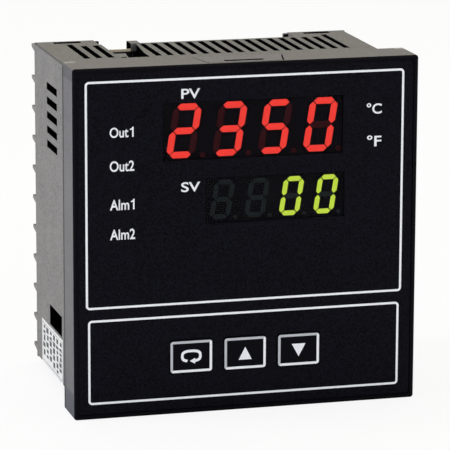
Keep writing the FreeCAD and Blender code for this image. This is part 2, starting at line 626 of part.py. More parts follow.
def cross_screw(name, x, z, seat, sizes):
    """A screw along y with a cross recess in its head, which lies behind the seat."""
    head_radius, head_height, shank_radius, shank_length = sizes
    head_run = (seat, "%s + %s" % (seat, head_height))
    shank_run = ("%s - %s" % (seat, shank_length), seat)
    slot_run = ("%s + %s / 2" % (seat, head_height), "%s + %s + %s" % (seat, head_height, BEYOND))
    blank = fuse([plain_rod(name + "_head", head_radius, x, z, head_run),
                  plain_rod(name + "_shank", shank_radius, x, z, shank_run)], name + "_blank")
    slot_length = head_radius + " * drive_share"
    drive = fuse([plain_box(name + "_drive_a", about(x, slot_length), slot_run, about(z, "screw_slot")),
                  plain_box(name + "_drive_b", about(x, "screw_slot"), slot_run, about(z, slot_length))],
                 name + "_drive")
    return cut(blank, drive, name)


def build_terminal_screws():
    sizes = ("(%s / 2 - head_play)" % CELL_HEIGHT, "screw_head_height", "screw_shank", "screw_length")
    screws = []
    for side, word in ((-1, "left"), (1, "right")):
        for number in range(count_of("terminal_count")):
            screws.append(cross_screw("%s_screw_%d" % (word, number), "(%d * %s)" % (side, SCREW_PLACE),
                                      cell_middle(number), "(case_depth + metal_plate)", sizes))
    keep(gather(screws, "terminal_screws"), "terminal_screws")


def build_rating_label():
    tag = plain_box("rating_label", ("-%s - tag_thick" % CASE_HALF, "-" + CASE_HALF),
                    ("tag_front", "tag_front + tag_length"), (TAG_TOP + " - tag_height", TAG_TOP))
    keep(tag, "rating_label")


def build_front_bezel():
    body = new_body("front_bezel")
    add_box(body, "bezel_block", both(BEZEL_HALF), (FRONT, "0"), both(BEZEL_HALF))
    round_edges(body, "bezel_corners", "bezel_corner", lambda run, middle, box: abs(run.y) > 0.9)
    round_edges(body, "bezel_front_bevel", "bezel_bevel",
                lambda run, middle, box: abs(middle.y - box.YMin) < 0.01, "Chamfer")
    cut_box(body, "film_recess", both(RECESS_HALF), (FRONT + " - " + BEYOND, FILM_REAR), both(RECESS_HALF))
    round_edges(body, "film_recess_corners", "film_corner",
                lambda run, middle, box: abs(run.y) > 0.9
                and max(abs(middle.x), abs(middle.z)) < box.XMax - 0.01)
    cavity = CASE_HALF + " + case_fit"
    cut_box(body, "case_socket", both(cavity), (PLATE_REAR, BEYOND), both(cavity))
    cut_box(body, "lens_pocket", (LENS_LEFT + " - lens_gap", LENS_RIGHT + " + lens_gap"),
            (FRONT + " - " + BEYOND, FILM_REAR + " + lens_thick"),
            (LENS_LOW + " - lens_gap", LENS_TOP + " + lens_gap"))
    through = (FRONT + " - " + BEYOND, PLATE_REAR + " + " + BEYOND)
    for word, up in DISPLAYS.items():
        cut_box(body, word + "_opening", about(word + "_across", word + "_width + 2 * module_gap"), through,
                about(up, word + "_height + 2 * module_gap"))
    for number, word in enumerate(("scroll", "up", "down")):
        cut_box(body, word + "_key_hole", about(key_middle(number), "key_width + 2 * key_gap"), through,
                about(KEY_UP, "key_height + 2 * key_gap"))
    for word, x, z in lamp_places():
        hole = body.newObject("PartDesign::SubtractiveCylinder", word + "_hole")
        along_y(hole, "led_radius + led_gap", x, z, through)
    for x_sign in (-1, 1):
        for z_sign in (-1, 1):
            word = "post_%s%s" % ("left" if x_sign < 0 else "right", "_low" if z_sign < 0 else "_high")
            x = "%d * %s" % (x_sign, POST_PLACE)
            z = "%d * %s" % (z_sign, POST_PLACE)
            post = body.newObject("PartDesign::AdditiveCylinder", word)
            along_y(post, "post_radius", x, z, (PLATE_REAR + " - post_root", BOARD_FRONT))
            pilot = body.newObject("PartDesign::SubtractiveCylinder", word + "_pilot")
            along_y(pilot, "post_screw_shank + post_screw_gap", x, z,
                    (BOARD_REAR + " - post_screw_length - post_screw_gap", BOARD_FRONT + " + " + BEYOND))
    notch = body.newObject("PartDesign::SubtractiveWedge", "tongue_notch")
    wedge_sizes(notch, both("tongue_front / 2 + tongue_gap"), both("tongue_rear / 2 + tongue_gap"),
                (FRONT + " + tongue_lip", "0"),
                (CASE_HALF + " - 2 * tongue_gap", BEZEL_HALF + " + " + BEYOND))


def lamp_places():
    """Name, x and z of each indicator lamp."""
    left = "(%s - lamp_left)" % LENS_LEFT
    right = "(%s + lamp_right)" % LENS_RIGHT
    return [("lamp_a", left, "(%s + lamp_row_a)" % PV_UP), ("lamp_b", left, "(%s - lamp_row_b)" % PV_UP),
            ("lamp_c", left, "(%s + lamp_row_c)" % SV_UP), ("lamp_d", left, "(%s - lamp_row_d)" % SV_UP),
            ("unit_lamp_a", right, "(%s + unit_row_a)" % PV_UP),
            ("unit_lamp_b", right, "(%s - unit_row_b)" % PV_UP)]


def build_front_overlay():
    """The printed film, a rounded sheet with two display windows and three key holes."""
    body = new_body("front_overlay")
    half = RECESS_HALF + " - film_gap"
    add_box(body, "film", both(half), (FILM_FRONT, FILM_REAR), both(half))
    round_edges(body, "film_corners", "film_corner", lambda run, middle, box: abs(run.y) > 0.9)
    through = (FILM_FRONT + " - " + BEYOND, FILM_REAR + " + " + BEYOND)
    for word, up in DISPLAYS.items():
        cut_box(body, word + "_film_window", about(word + "_across", word + "_width - 2 * window_side"),
                through, about(up, "%s_height - 2 * %s_cover" % (word, word)))
    for number, word in enumerate(("scroll", "up", "down")):
        cut_box(body, word + "_film_hole", about(key_middle(number), "key_width + 2 * key_gap"), through,
                about(KEY_UP, "key_height + 2 * key_gap"))
    round_edges(body, "key_hole_corners", "key_corner + key_gap",
                lambda run, middle, box: abs(run.y) > 0.9 and middle.z < 0
                and max(abs(middle.x), abs(middle.z)) < box.XMax - 1)


def build_display_lens():
    """Smoke-tinted lens behind the film, with two pads that fill the film's windows."""
    body = new_body("display_lens")
    add_box(body, "lens_sheet", (LENS_LEFT, LENS_RIGHT), (FILM_REAR, FILM_REAR + " + lens_thick"),
            (LENS_LOW, LENS_TOP))
    for word, up in DISPLAYS.items():
        add_box(body, word + "_pad",
                about(word + "_across", word + "_width - 2 * window_side - 2 * lens_gap"),
                (FILM_FRONT, FILM_REAR), about(up, "%s_height - 2 * %s_cover - 2 * lens_gap" % (word, word)))


def build_display_module(word):
    body = new_body(word + "_display")
    add_box(body, word + "_module", about(word + "_across", word + "_width"), (MODULE_FACE, BOARD_FRONT),
            about(DISPLAYS[word], word + "_height"))


def stroke_outline(start, end, thickness, gap):
    """Six corners of one stroke between two points of a digit, pointed at both ends."""
    run = (end - start).normalize()
    across = FreeCAD.Vector(-run.z, 0, run.x) * (thickness / 2)
    tip_start = start + run * gap
    tip_end = end - run * gap
    shoulder = run * (thickness / 2)
    return [tip_start, tip_start + shoulder + across, tip_end - shoulder + across, tip_end,
            tip_end - shoulder - across, tip_start + shoulder - across]


def digit_strokes(word, pitch, middle):
    """One slanted digit beside its module's middle: seven strokes by letter, and the point as 'dot'."""
    half = (pitch - size_of(word + "_digit_gap")) / 2
    rise = size_of(word + "_height") / 2 - size_of(word + "_digit_edge")
    thickness = size_of(word + "_stroke")
    gap = size_of("stroke_gap")
    slant = size_of("digit_slant")
    raise_by = FreeCAD.Vector(0, -size_of("stroke_raise"), 0)

    def lean(x, z):
        return FreeCAD.Vector(middle + x + slant * z, 0, z)

    corners = {"a": ((-half, rise), (half, rise)), "b": ((half, rise), (half, 0)),
               "c": ((half, 0), (half, -rise)), "d": ((half, -rise), (-half, -rise)),
               "e": ((-half, -rise), (-half, 0)), "f": ((-half, 0), (-half, rise)),
               "g": ((-half, 0), (half, 0))}
    strokes = {}
    for letter, (start, end) in corners.items():
        flat = stroke_outline(FreeCAD.Vector(start[0], 0, start[1]), FreeCAD.Vector(end[0], 0, end[1]),
                              thickness, gap)
        ring = [lean(point.x, point.z) for point in flat]
        strokes[letter] = Part.Face(Part.makePolygon(ring + [ring[0]])).extrude(raise_by)
    dot_middle = lean(pitch / 2 - size_of(word + "_dot_inset"), -rise - size_of("dot_drop"))
    strokes["dot"] = Part.makeCylinder(thickness * size_of("dot_share"), size_of("stroke_raise"),
                                       dot_middle, FreeCAD.Vector(0, -1, 0))
    return strokes


def build_strokes(word, reading):
    """The lit and the dark strokes of a four-digit display, as two groups of bars."""
    lit = []
    dark = []
    pitch = (size_of(word + "_width") - 2 * size_of(word + "_digit_margin")) / len(reading)
    for place, figure in enumerate(reading):
        middle = pitch * (place - (len(reading) - 1) / 2)
        for letter, bar in digit_strokes(word, pitch, middle).items():
            group = lit if letter in DIGITS_LIT[figure] else dark
            group.append(bar)
    for group, kind in ((lit, "lit"), (dark, "dark")):
        feature = doc.addObject("Part::Feature", "%s_%s_segments" % (word, kind))
        feature.Shape = Part.makeCompound(group)
        bind(feature, Placement__Base__x=word + "_across", Placement__Base__y=MODULE_FACE,
             Placement__Base__z=DISPLAYS[word])
        keep(feature, "%s_%s_segments" % (word, kind))


def build_indicator_leds():
    """Round lamps on legs, from the display board into the front plate."""
    lamps = []
    tip = FILM_REAR + " + led_sink"
    for word, x, z in lamp_places():
        bulb = plain_rod(word + "_bulb", "led_radius", x, z, (tip, tip + " + led_length"))
        legs = [plain_box("%s_leg_%d" % (word, side), about("%s + %d * led_leg" % (x, side), "led_leg"),
                          (tip + " + led_length / 2", BOARD_FRONT), about(z, "led_leg"))
                for side in (-1, 1)]
        lamps.append(fuse([bulb] + legs, word))
    keep(gather(lamps, "indicator_leds"), "indicator_leds")


def build_key(number, word):
    """A key cap with a rear flange that keeps it in, and a stem that meets its switch."""
    body = new_body("key_" + word)
    cap_front = FILM_FRONT + " - key_raise"
    cap_rear = PLATE_REAR + " + key_play"
    x = key_middle(number)
    add_box(body, word + "_cap", about(x, "key_width"), (cap_front, cap_rear), about(KEY_UP, "key_height"))
    round_edges(body, word + "_cap_corners", "key_corner", lambda run, middle, box: abs(run.y) > 0.9)
    round_edges(body, word + "_cap_round", "key_round",
                lambda run, middle, box: abs(middle.y - box.YMin) < 0.01)
    add_box(body, word + "_flange", about(x, "key_width + 2 * key_flange_reach"),
            (cap_rear, cap_rear + " + key_flange"), about(KEY_UP, "key_height + 2 * key_flange_reach"))
    add_box(body, word + "_stem", about(x, "key_stem"),
            (cap_rear + " + key_flange", BOARD_FRONT + " - switch_height - plunger_raise"),
            about(KEY_UP, "key_stem"))


def build_switch_button(number, word):
    face = BOARD_FRONT + " - switch_height"
    button = plain_rod("switch_button_" + word, "plunger_radius", key_middle(number), KEY_UP,
                       (face + " - plunger_raise", face + " + plunger_sink"))
    keep(button, "switch_button_" + word)


def build_tact_switches():
    switches = []
    face = BOARD_FRONT + " - switch_height"
    for number, word in enumerate(("scroll", "up", "down")):
        x = key_middle(number)
        housing = plain_box(word + "_switch_block", about(x, "switch_side"), (face, BOARD_FRONT),
                            about(KEY_UP, "switch_side"))
        bore = plain_rod(word + "_switch_bore", "plunger_radius + plunger_gap", x, KEY_UP,
                         (face + " - " + BEYOND, face + " + plunger_sink + plunger_room"))
        switches.append(cut(housing, bore, word + "_switch"))
    keep(gather(switches, "tact_switches"), "tact_switches")


def build_display_board():
    body = new_body("display_board")
    half = INNER_HALF + " - board_margin"
    add_box(body, "display_sheet", both(half), (BOARD_FRONT, BOARD_REAR), both(half))
    for x_sign in (-1, 1):
        for z_sign in (-1, 1):
            hole = body.newObject("PartDesign::SubtractiveCylinder", "board_hole")
            along_y(hole, "post_screw_shank + 2 * post_screw_gap", "%d * %s" % (x_sign, POST_PLACE),
                    "%d * %s" % (z_sign, POST_PLACE),
                    (BOARD_FRONT + " - " + BEYOND, BOARD_REAR + " + " + BEYOND))


def build_board_screws():
    sizes = ("post_screw_head", "post_screw_head_height", "post_screw_shank", "post_screw_length")
    screws = []
    for x_sign in (-1, 1):
        for z_sign in (-1, 1):
            screws.append(cross_screw("board_screw", "(%d * %s)" % (x_sign, POST_PLACE),
                                      "(%d * %s)" % (z_sign, POST_PLACE), BOARD_REAR, sizes))
    keep(gather(screws, "board_screws"), "board_screws")


def build_side_board(side, label):
    board = plain_box(label, sided(side, SIDE_INNER, SIDE_OUTER), (BOARD_REAR, SIDE_REAR),
                      both(INNER_HALF + " - side_board_play"))
    keep(board, label)


def build_transformer():
    """A taped coil through an iron core that stands on the power board."""
    coil_box = (COIL_X, (COIL_FRONT, COIL_REAR), (COIL_LOW, COIL_TOP))
    keep(plain_box("transformer_coil", *coil_box), "transformer_coil")
    core_front = COIL_FRONT + " + core_inset"
    core_block = plain_box("core_block", ("-" + SIDE_INNER, COIL_X[1] + " + core_side"),
                           (core_front, core_front + " + core_length"), (CORE_LOW, COIL_TOP + " - core_drop"))
    keep(cut(core_block, plain_box("coil_room", *coil_box), "transformer_core"), "transformer_core")


def build_output_relays():
    run = (HEADER_REAR + " + relay_front_gap", SIDE_REAR + " - relay_inset")
    relays = []
    for number in range(2):
        top = "(%s - relay_gap - %d * relay_pitch)" % (CORE_LOW, number)
        relays.append(plain_box("relay_%d" % number, ("-" + SIDE_INNER, "relay_reach - " + SIDE_INNER),
                                run, (top + " - relay_height", top)))
    keep(gather(relays, "output_relays"), "output_relays")


def build_filter_capacitors():
    up = "(%s - can_drop)" % INNER_HALF
    cans = []
    for number in range(2):
        place = "%s - can_inset - %d * can_pitch" % (SIDE_REAR, number)
        for row, height in (("upper", up), ("lower", "-" + up)):
            can = doc.addObject("Part::Cylinder", "can_%s_%d" % (row, number))
            cans.append(along_x(can, "can_radius", place, height, (SIDE_INNER + " - can_length", SIDE_INNER)))
    keep(gather(cans, "filter_capacitors"), "filter_capacitors")


def build_microcontroller():
    chip = plain_box("microcontroller", (SIDE_INNER + " - chip_thick", SIDE_INNER),
                     about("(%s + %s) / 2" % (HEADER_REAR, SIDE_REAR), "chip_side"), about("0", "chip_side"))
    keep(chip, "microcontroller")


def build_board_connectors():
    """Headers in the corners between the display board and the side boards."""
    headers = [plain_box(word + "_header", sided(side, SIDE_INNER + " - header_reach", SIDE_INNER),
                         (BOARD_REAR, HEADER_REAR), about("0", "header_height"))
               for side, word in ((-1, "left"), (1, "right"))]
    keep(gather(headers, "board_connectors"), "board_connectors")


def build_rear_insulation():
    """A sheet on the rear wall's front face that shows in the upper clamp opening."""
    top = "(%s - sheet_drop)" % CASE_HALF
    across = (CLAMP_LOW + " + sheet_gap", CLAMP_HIGH + " - hook_inset - sheet_gap")
    keep(plain_box("rear_insulation", across, (WALL_FRONT + " - sheet_thick", WALL_FRONT),
                   (top + " - sheet_height", top)), "rear_insulation")


def check_and_write():
    """Stop on anything that failed, then write one file for each sub-part."""
    doc.recompute()
    for item in doc.Objects:
        if "Invalid" in item.State or "Error" in item.State:
            raise RuntimeError("%s failed: %s" % (item.Label, item.State))
    os.makedirs("parts", exist_ok=True)
    for item in sub_parts:
        shape = item.Shape
        if shape.isNull() or not shape.isValid() or not shape.Solids:
            raise RuntimeError("%s has no sound solid" % item.Label)
        shape.exportStep("parts/%s.step" % item.Label)
        box = shape.BoundBox
        print("%-24s solids %2d  volume %10.2f mm3  x %7.2f..%6.2f  y %7.2f..%6.2f  z %7.2f..%6.2f" % (
            item.Label, len(shape.Solids), shape.Volume, box.XMin, box.XMax, box.YMin, box.YMax,
            box.ZMin, box.ZMax))


build_rear_case()
for column_side, column_word in ((-1, "left"), (1, "right")):
    build_terminal_block(column_side, column_word)
    build_terminal_plates(column_side, column_word)
build_terminal_screws()
build_rating_label()
build_front_bezel()
build_front_overlay()
build_display_lens()
build_display_module("pv")
build_display_module("sv")
build_strokes("pv", PV_READING)
build_strokes("sv", SV_READING)
build_indicator_leds()
for key_number, key_word in enumerate(("scroll", "up", "down")):
    build_key(key_number, key_word)
    build_switch_button(key_number, key_word)
build_tact_switches()
build_display_board()
build_board_screws()
build_side_board(1, "main_board")
build_side_board(-1, "power_board")
build_transformer()
build_output_relays()
build_filter_capacitors()
build_microcontroller()
build_board_connectors()
build_rear_insulation()
check_and_write()
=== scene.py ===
"""Looks of a 96 mm panel-mounted temperature controller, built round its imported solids."""
import math
import random

import bmesh
import bpy
from mathutils import Matrix, Vector


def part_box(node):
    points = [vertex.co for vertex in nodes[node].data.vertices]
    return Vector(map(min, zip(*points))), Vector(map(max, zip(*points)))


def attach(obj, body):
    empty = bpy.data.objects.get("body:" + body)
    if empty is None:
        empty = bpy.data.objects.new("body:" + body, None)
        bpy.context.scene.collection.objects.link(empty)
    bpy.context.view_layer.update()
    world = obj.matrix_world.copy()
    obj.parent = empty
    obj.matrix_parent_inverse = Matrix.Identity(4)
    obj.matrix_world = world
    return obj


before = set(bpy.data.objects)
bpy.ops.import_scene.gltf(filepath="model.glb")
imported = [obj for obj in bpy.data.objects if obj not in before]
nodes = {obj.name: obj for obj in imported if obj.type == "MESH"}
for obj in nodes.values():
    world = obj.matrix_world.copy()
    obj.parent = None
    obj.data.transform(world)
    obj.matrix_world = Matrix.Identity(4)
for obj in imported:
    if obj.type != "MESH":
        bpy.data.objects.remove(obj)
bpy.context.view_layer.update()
MM = 0.001
FILM_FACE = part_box("front_overlay")[0].y
KEY_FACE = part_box("key_up")[0].y
INK = 0.012 * MM

CASE_GREY = (0.2, 0.197, 0.196)
BEZEL_SIDE = (0.14, 0.139, 0.142)
# painted shade: the bezel's grey plastic painted near black on its front face and rim
BEZEL_FRONT_SHADE = (0.003, 0.003, 0.0055)
# DARK: near black, laid as painted shade over the case's inside, slot walls, gaps and hollows; it also blacks
# the terminal ear's tip
DARK = (0.0012, 0.0012, 0.0014)
WHITE_INK = (0.84, 0.86, 0.92)
RED_GLOW = (1.0, 0.058, 0.042)
LIME_GLOW = (0.6, 0.79, 0.07)
WHITE = (1, 1, 1, 1)
FRONT_SHINE = 0.055
GRAIN = 5200.0
MOTTLE_SHARE = 0.45
CASE_PATCH, BEZEL_PATCH = 90.0, 70.0
GRAIN_BUMP, GRAIN_DEPTH = 0.35, 0.03


# ---------------------------------------------------------------- materials

def new_material(name):
    """A node material with its tree and its Principled shader."""
    made = bpy.data.materials.new(name)
    made.use_nodes = True
    tree = made.node_tree
    shader = tree.nodes["Principled BSDF"]
    return made, tree, shader


def noise(tree, scale, detail=4.0, roughness=0.55, stretch=None):
    """A 3-D noise in the object's own metres; stretch multiplies its three axes."""
    place = tree.nodes.new("ShaderNodeTexCoord").outputs["Object"]
    if stretch:
        mapping = tree.nodes.new("ShaderNodeMapping")
        mapping.inputs["Scale"].default_value = stretch
        tree.links.new(place, mapping.inputs["Vector"])
        place = mapping.outputs["Vector"]
    texture = tree.nodes.new("ShaderNodeTexNoise")
    texture.inputs["Scale"].default_value = scale
    texture.inputs["Detail"].default_value = detail
    texture.inputs["Roughness"].default_value = roughness
    tree.links.new(place, texture.inputs["Vector"])
    return texture.outputs["Fac"]


def spread(tree, value, low, high, start=0.3, end=0.7):
    """Maps start..end of a value to low..high."""
    node = tree.nodes.new("ShaderNodeMapRange")
    node.inputs["From Min"].default_value = start
    node.inputs["From Max"].default_value = end
    node.inputs["To Min"].default_value = low
    node.inputs["To Max"].default_value = high
    tree.links.new(value, node.inputs["Value"])
    return node.outputs["Result"]


def ramp(tree, value, stops):
    """A colour ramp; stops are (place, colour)."""
    node = tree.nodes.new("ShaderNodeValToRGB")
    elements = node.color_ramp.elements
    while len(elements) < len(stops):
        elements.new(0.5)
    for element, (place, colour) in zip(elements, stops):
        element.position = place
        element.color = (*colour, 1.0)
    tree.links.new(value, node.inputs["Fac"])
    return node.outputs["Color"]


def mix(tree, factor, first, second):
    """Mixes two colours; each is a socket or a plain colour."""
    node = tree.nodes.new("ShaderNodeMix")
    node.data_type = "RGBA"
    tree.links.new(factor, node.inputs["Factor"])
    for socket, colour in ((node.inputs[6], first), (node.inputs[7], second)):
        if isinstance(colour, tuple):
            socket.default_value = (*colour, 1.0)
        else:
            tree.links.new(colour, socket)
    return node.outputs[2]


def bump(tree, shader, height, strength, distance):
    """Bumps the shader's normal by a height; distance is in mm."""
    node = tree.nodes.new("ShaderNodeBump")
    node.inputs["Strength"].default_value = strength
    node.inputs["Distance"].default_value = distance * MM
    tree.links.new(height, node.inputs["Height"])
    tree.links.new(node.outputs["Normal"], shader.inputs["Normal"])


def shade(colour, factor):
    """The colour times a factor, kept within 1."""
    return tuple(min(1.0, channel * factor) for channel in colour)


def combine(tree, operation, first, second):
    """A maths node on two sockets."""
    node = tree.nodes.new("ShaderNodeMath")
    node.operation = operation
    tree.links.new(first, node.inputs[0])
    tree.links.new(second, node.inputs[1])
    return node.outputs[0]


def within(tree, box):
    """1 inside a box of three (low, high) pairs in mm, 0 outside; None leaves an axis free."""
    split = tree.nodes.new("ShaderNodeSeparateXYZ")
    tree.links.new(tree.nodes.new("ShaderNodeTexCoord").outputs["Object"], split.inputs["Vector"])
    inside = None
    for axis, ends in zip("XYZ", box):
        if ends is None:
            continue
        test = tree.nodes.new("ShaderNodeMath")
        test.operation = "COMPARE"
        test.inputs[1].default_value = (ends[0] + ends[1]) / 2 * MM
        test.inputs[2].default_value = (ends[1] - ends[0]) / 2 * MM
        tree.links.new(split.outputs[axis], test.inputs[0])
        inside = test.outputs[0] if inside is None else combine(tree, "MULTIPLY", inside, test.outputs[0])
    return inside


def tinted(tree, tone, box, factor):
    """The tone times a plain colour inside a box of (low, high) pairs in mm."""
    node = tree.nodes.new("ShaderNodeVectorMath")
    node.operation = "MULTIPLY"
    tree.links.new(tone, node.inputs[0])
    node.inputs[1].default_value = factor
    return mix(tree, within(tree, box), tone, node.outputs["Vector"])


def moulded(tree, colour, grain, patch, vary, mottling):
    """The tone of moulded plastic, with its fine and its slow noise.

    In slow patches an eroded grain gives way to a mottle; vary and mottling are their contrasts."""
    fine = noise(tree, grain, 3.0)
    mottle = noise(tree, grain * MOTTLE_SHARE, 3.0, 0.7)
    slow = noise(tree, patch, 3.0)
    grained = ramp(tree, fine, ((0.35, shade(colour, 1 - vary)), (0.65, shade(colour, 1 + vary))))
    toned = ramp(tree, mottle, ((0.38, shade(colour, 1 - mottling)), (0.62, shade(colour, 1 + mottling))))
    return mix(tree, slow, grained, toned), fine, slow


def painted(tree, tone, zones):
    """The tone with a colour in each zone's box, and a mask of all the boxes."""
    covered = None
    for box, colour in zones:
        mask = within(tree, box)
        tone = mix(tree, mask, tone, colour)
        covered = mask if covered is None else combine(tree, "MAXIMUM", covered, mask)
    return tone, covered


def plastic(name, colour, rough=0.5, grain=GRAIN, vary=0.12, depth=GRAIN_DEPTH, shine=None, tints=(),
            zones=()):
    """Moulded plastic; each tint is a box in mm with a factor, each zone a box with its own colour, here
    painted shade, where the shine is taken away.
    """
    made, tree, shader = new_material(name)
    tone, fine, slow = moulded(tree, colour, grain, CASE_PATCH, vary, vary)
    for box, factor in tints:
        tone = tinted(tree, tone, box, factor)
    tone, covered = painted(tree, tone, zones)
    tree.links.new(tone, shader.inputs["Base Color"])
    tree.links.new(spread(tree, slow, rough - 0.05, rough + 0.07), shader.inputs["Roughness"])
    if shine is not None:
        shader.inputs["Specular IOR Level"].default_value = shine
    if covered is not None:
        tree.links.new(spread(tree, covered, shine, 0.0, 0.0, 1.0), shader.inputs["Specular IOR Level"])
    bump(tree, shader, fine, GRAIN_BUMP, depth)
    return made


def metal(name, colour, rough, stretch=(1.0, 1.0, 14.0)):
    """Plated metal with faint drawn lines and duller patches."""
    made, tree, shader = new_material(name)
    lines = noise(tree, 900.0, 5.0, 0.6, stretch)
    dull = noise(tree, 260.0, 3.0)
    tree.links.new(ramp(tree, dull, ((0.3, shade(colour, 0.8)), (0.7, shade(colour, 1.05)))),
                   shader.inputs["Base Color"])
    shader.inputs["Metallic"].default_value = 1.0
    tree.links.new(spread(tree, lines, rough - 0.08, rough + 0.14), shader.inputs["Roughness"])
    bump(tree, shader, lines, 0.2, 0.01)
    return made


def ink(name, colour, strength=0.0):
    """Screen-printed ink with a slightly uneven coat; a strength above zero makes it glow, as painted light.
    """
    made, tree, shader = new_material(name)
    coat = noise(tree, 3200.0, 3.0)
    tone = ramp(tree, coat, ((0.25, shade(colour, 0.9)), (0.75, colour)))
    tree.links.new(tone, shader.inputs["Base Color"])
    tree.links.new(spread(tree, coat, 0.42, 0.6), shader.inputs["Roughness"])
    if strength:
        tree.links.new(tone, shader.inputs["Emission Color"])
        shader.inputs["Emission Strength"].default_value = strength
    return made


def film_material():
    """Printed front film: blue-black, satin, with a very fine pebble."""
    made, tree, shader = new_material("film")
    fine = noise(tree, 7000.0, 2.0)
    slow = noise(tree, 45.0, 3.0)
    speck = noise(tree, 2600.0, 2.0)
    deep = ramp(tree, speck, ((0.38, (0.0002, 0.0002, 0.0016)), (0.62, (0.005, 0.005, 0.01))))
    pale = ramp(tree, speck, ((0.38, (0.0012, 0.0012, 0.0042)), (0.62, (0.0066, 0.0066, 0.013))))
    tree.links.new(mix(tree, slow, deep, pale), shader.inputs["Base Color"])
    tree.links.new(spread(tree, slow, 0.42, 0.5), shader.inputs["Roughness"])
    shader.inputs["Specular IOR Level"].default_value = FRONT_SHINE
    bump(tree, shader, fine, 0.2, 0.008)
    return made


def lens_material():
    """Smoke-tinted clear plastic."""
    made, tree, shader = new_material("smoke_lens")
    slow = noise(tree, 60.0, 2.0)
    tree.links.new(ramp(tree, slow, ((0.3, (0.0042, 0.0036, 0.0062)), (0.7, (0.0058, 0.005, 0.0082)))),
                   shader.inputs["Base Color"])
    tree.links.new(spread(tree, slow, 0.4, 0.46), shader.inputs["Roughness"])
    shader.inputs["Alpha"].default_value = 0.3
    shader.inputs["Specular IOR Level"].default_value = FRONT_SHINE
    return made


def segment_material(name, colour, strength, body):
    """A display stroke: a moulded diffuser, lit from behind where strength is above zero."""
    made, tree, shader = new_material(name)
    cloud = noise(tree, 900.0, 2.0)
    tree.links.new(ramp(tree, cloud, ((0.3, shade(body, 0.85)), (0.7, shade(body, 1.1)))),
                   shader.inputs["Base Color"])
    tree.links.new(spread(tree, cloud, 0.45, 0.6), shader.inputs["Roughness"])
    shader.inputs["Specular IOR Level"].default_value = 0.1
    if strength:
        tree.links.new(ramp(tree, cloud, ((0.3, shade(colour, 0.93)), (0.7, colour))),
                       shader.inputs["Emission Color"])
        shader.inputs["Emission Strength"].default_value = strength
    return made


def board_material():
    """Green solder mask with faint tracks showing through."""
    made, tree, shader = new_material("solder_mask")
    place = tree.nodes.new("ShaderNodeTexCoord").outputs["Object"]
    brick = tree.nodes.new("ShaderNodeTexBrick")
    brick.inputs["Color1"].default_value = (0.022, 0.12, 0.05, 1)
    brick.inputs["Color2"].default_value = (0.03, 0.15, 0.065, 1)
    brick.inputs["Mortar"].default_value = (0.014, 0.085, 0.036, 1)
    brick.inputs["Scale"].default_value = 260.0
    brick.inputs["Mortar Size"].default_value = 0.028
    brick.inputs["Brick Width"].default_value = 1.3
    turn = tree.nodes.new("ShaderNodeMapping")
    turn.inputs["Rotation"].default_value = (math.radians(90), 0.0, math.radians(90))
    tree.links.new(place, turn.inputs["Vector"])
    tree.links.new(turn.outputs["Vector"], brick.inputs["Vector"])
    tree.links.new(brick.outputs["Color"], shader.inputs["Base Color"])
    tree.links.new(spread(tree, noise(tree, 500.0), 0.25, 0.4), shader.inputs["Roughness"])
    bump(tree, shader, brick.outputs["Fac"], 0.3, 0.03)
    return made


def tape_material():
    """Winding tape with wrap lines across it, made black as painted shade inside the case."""
    made, tree, shader = new_material("winding_tape")
    wrap = noise(tree, 420.0, 4.0, 0.5, (1.0, 0.15, 1.0))
    tree.links.new(ramp(tree, wrap, ((0.35, (0.012, 0.012, 0.013)), (0.65, (0.03, 0.03, 0.032)))),
                   shader.inputs["Base Color"])
    tree.links.new(spread(tree, wrap, 0.3, 0.5), shader.inputs["Roughness"])
    bump(tree, shader, wrap, 0.5, 0.15)
    return made


def core_material():
    """Stacked laminations: thin light and dark sheets under a dull varnish."""
    made, tree, shader = new_material("laminations")
    sheets = noise(tree, 300.0, 3.0, 0.6, (1.0, 30.0, 1.0))
    tree.links.new(ramp(tree, sheets, ((0.35, (0.09, 0.085, 0.08)), (0.65, (0.24, 0.23, 0.21)))),
                   shader.inputs["Base Color"])
    shader.inputs["Metallic"].default_value = 0.75
    tree.links.new(spread(tree, sheets, 0.35, 0.6), shader.inputs["Roughness"])
    bump(tree, shader, sheets, 0.6, 0.08)
    return made


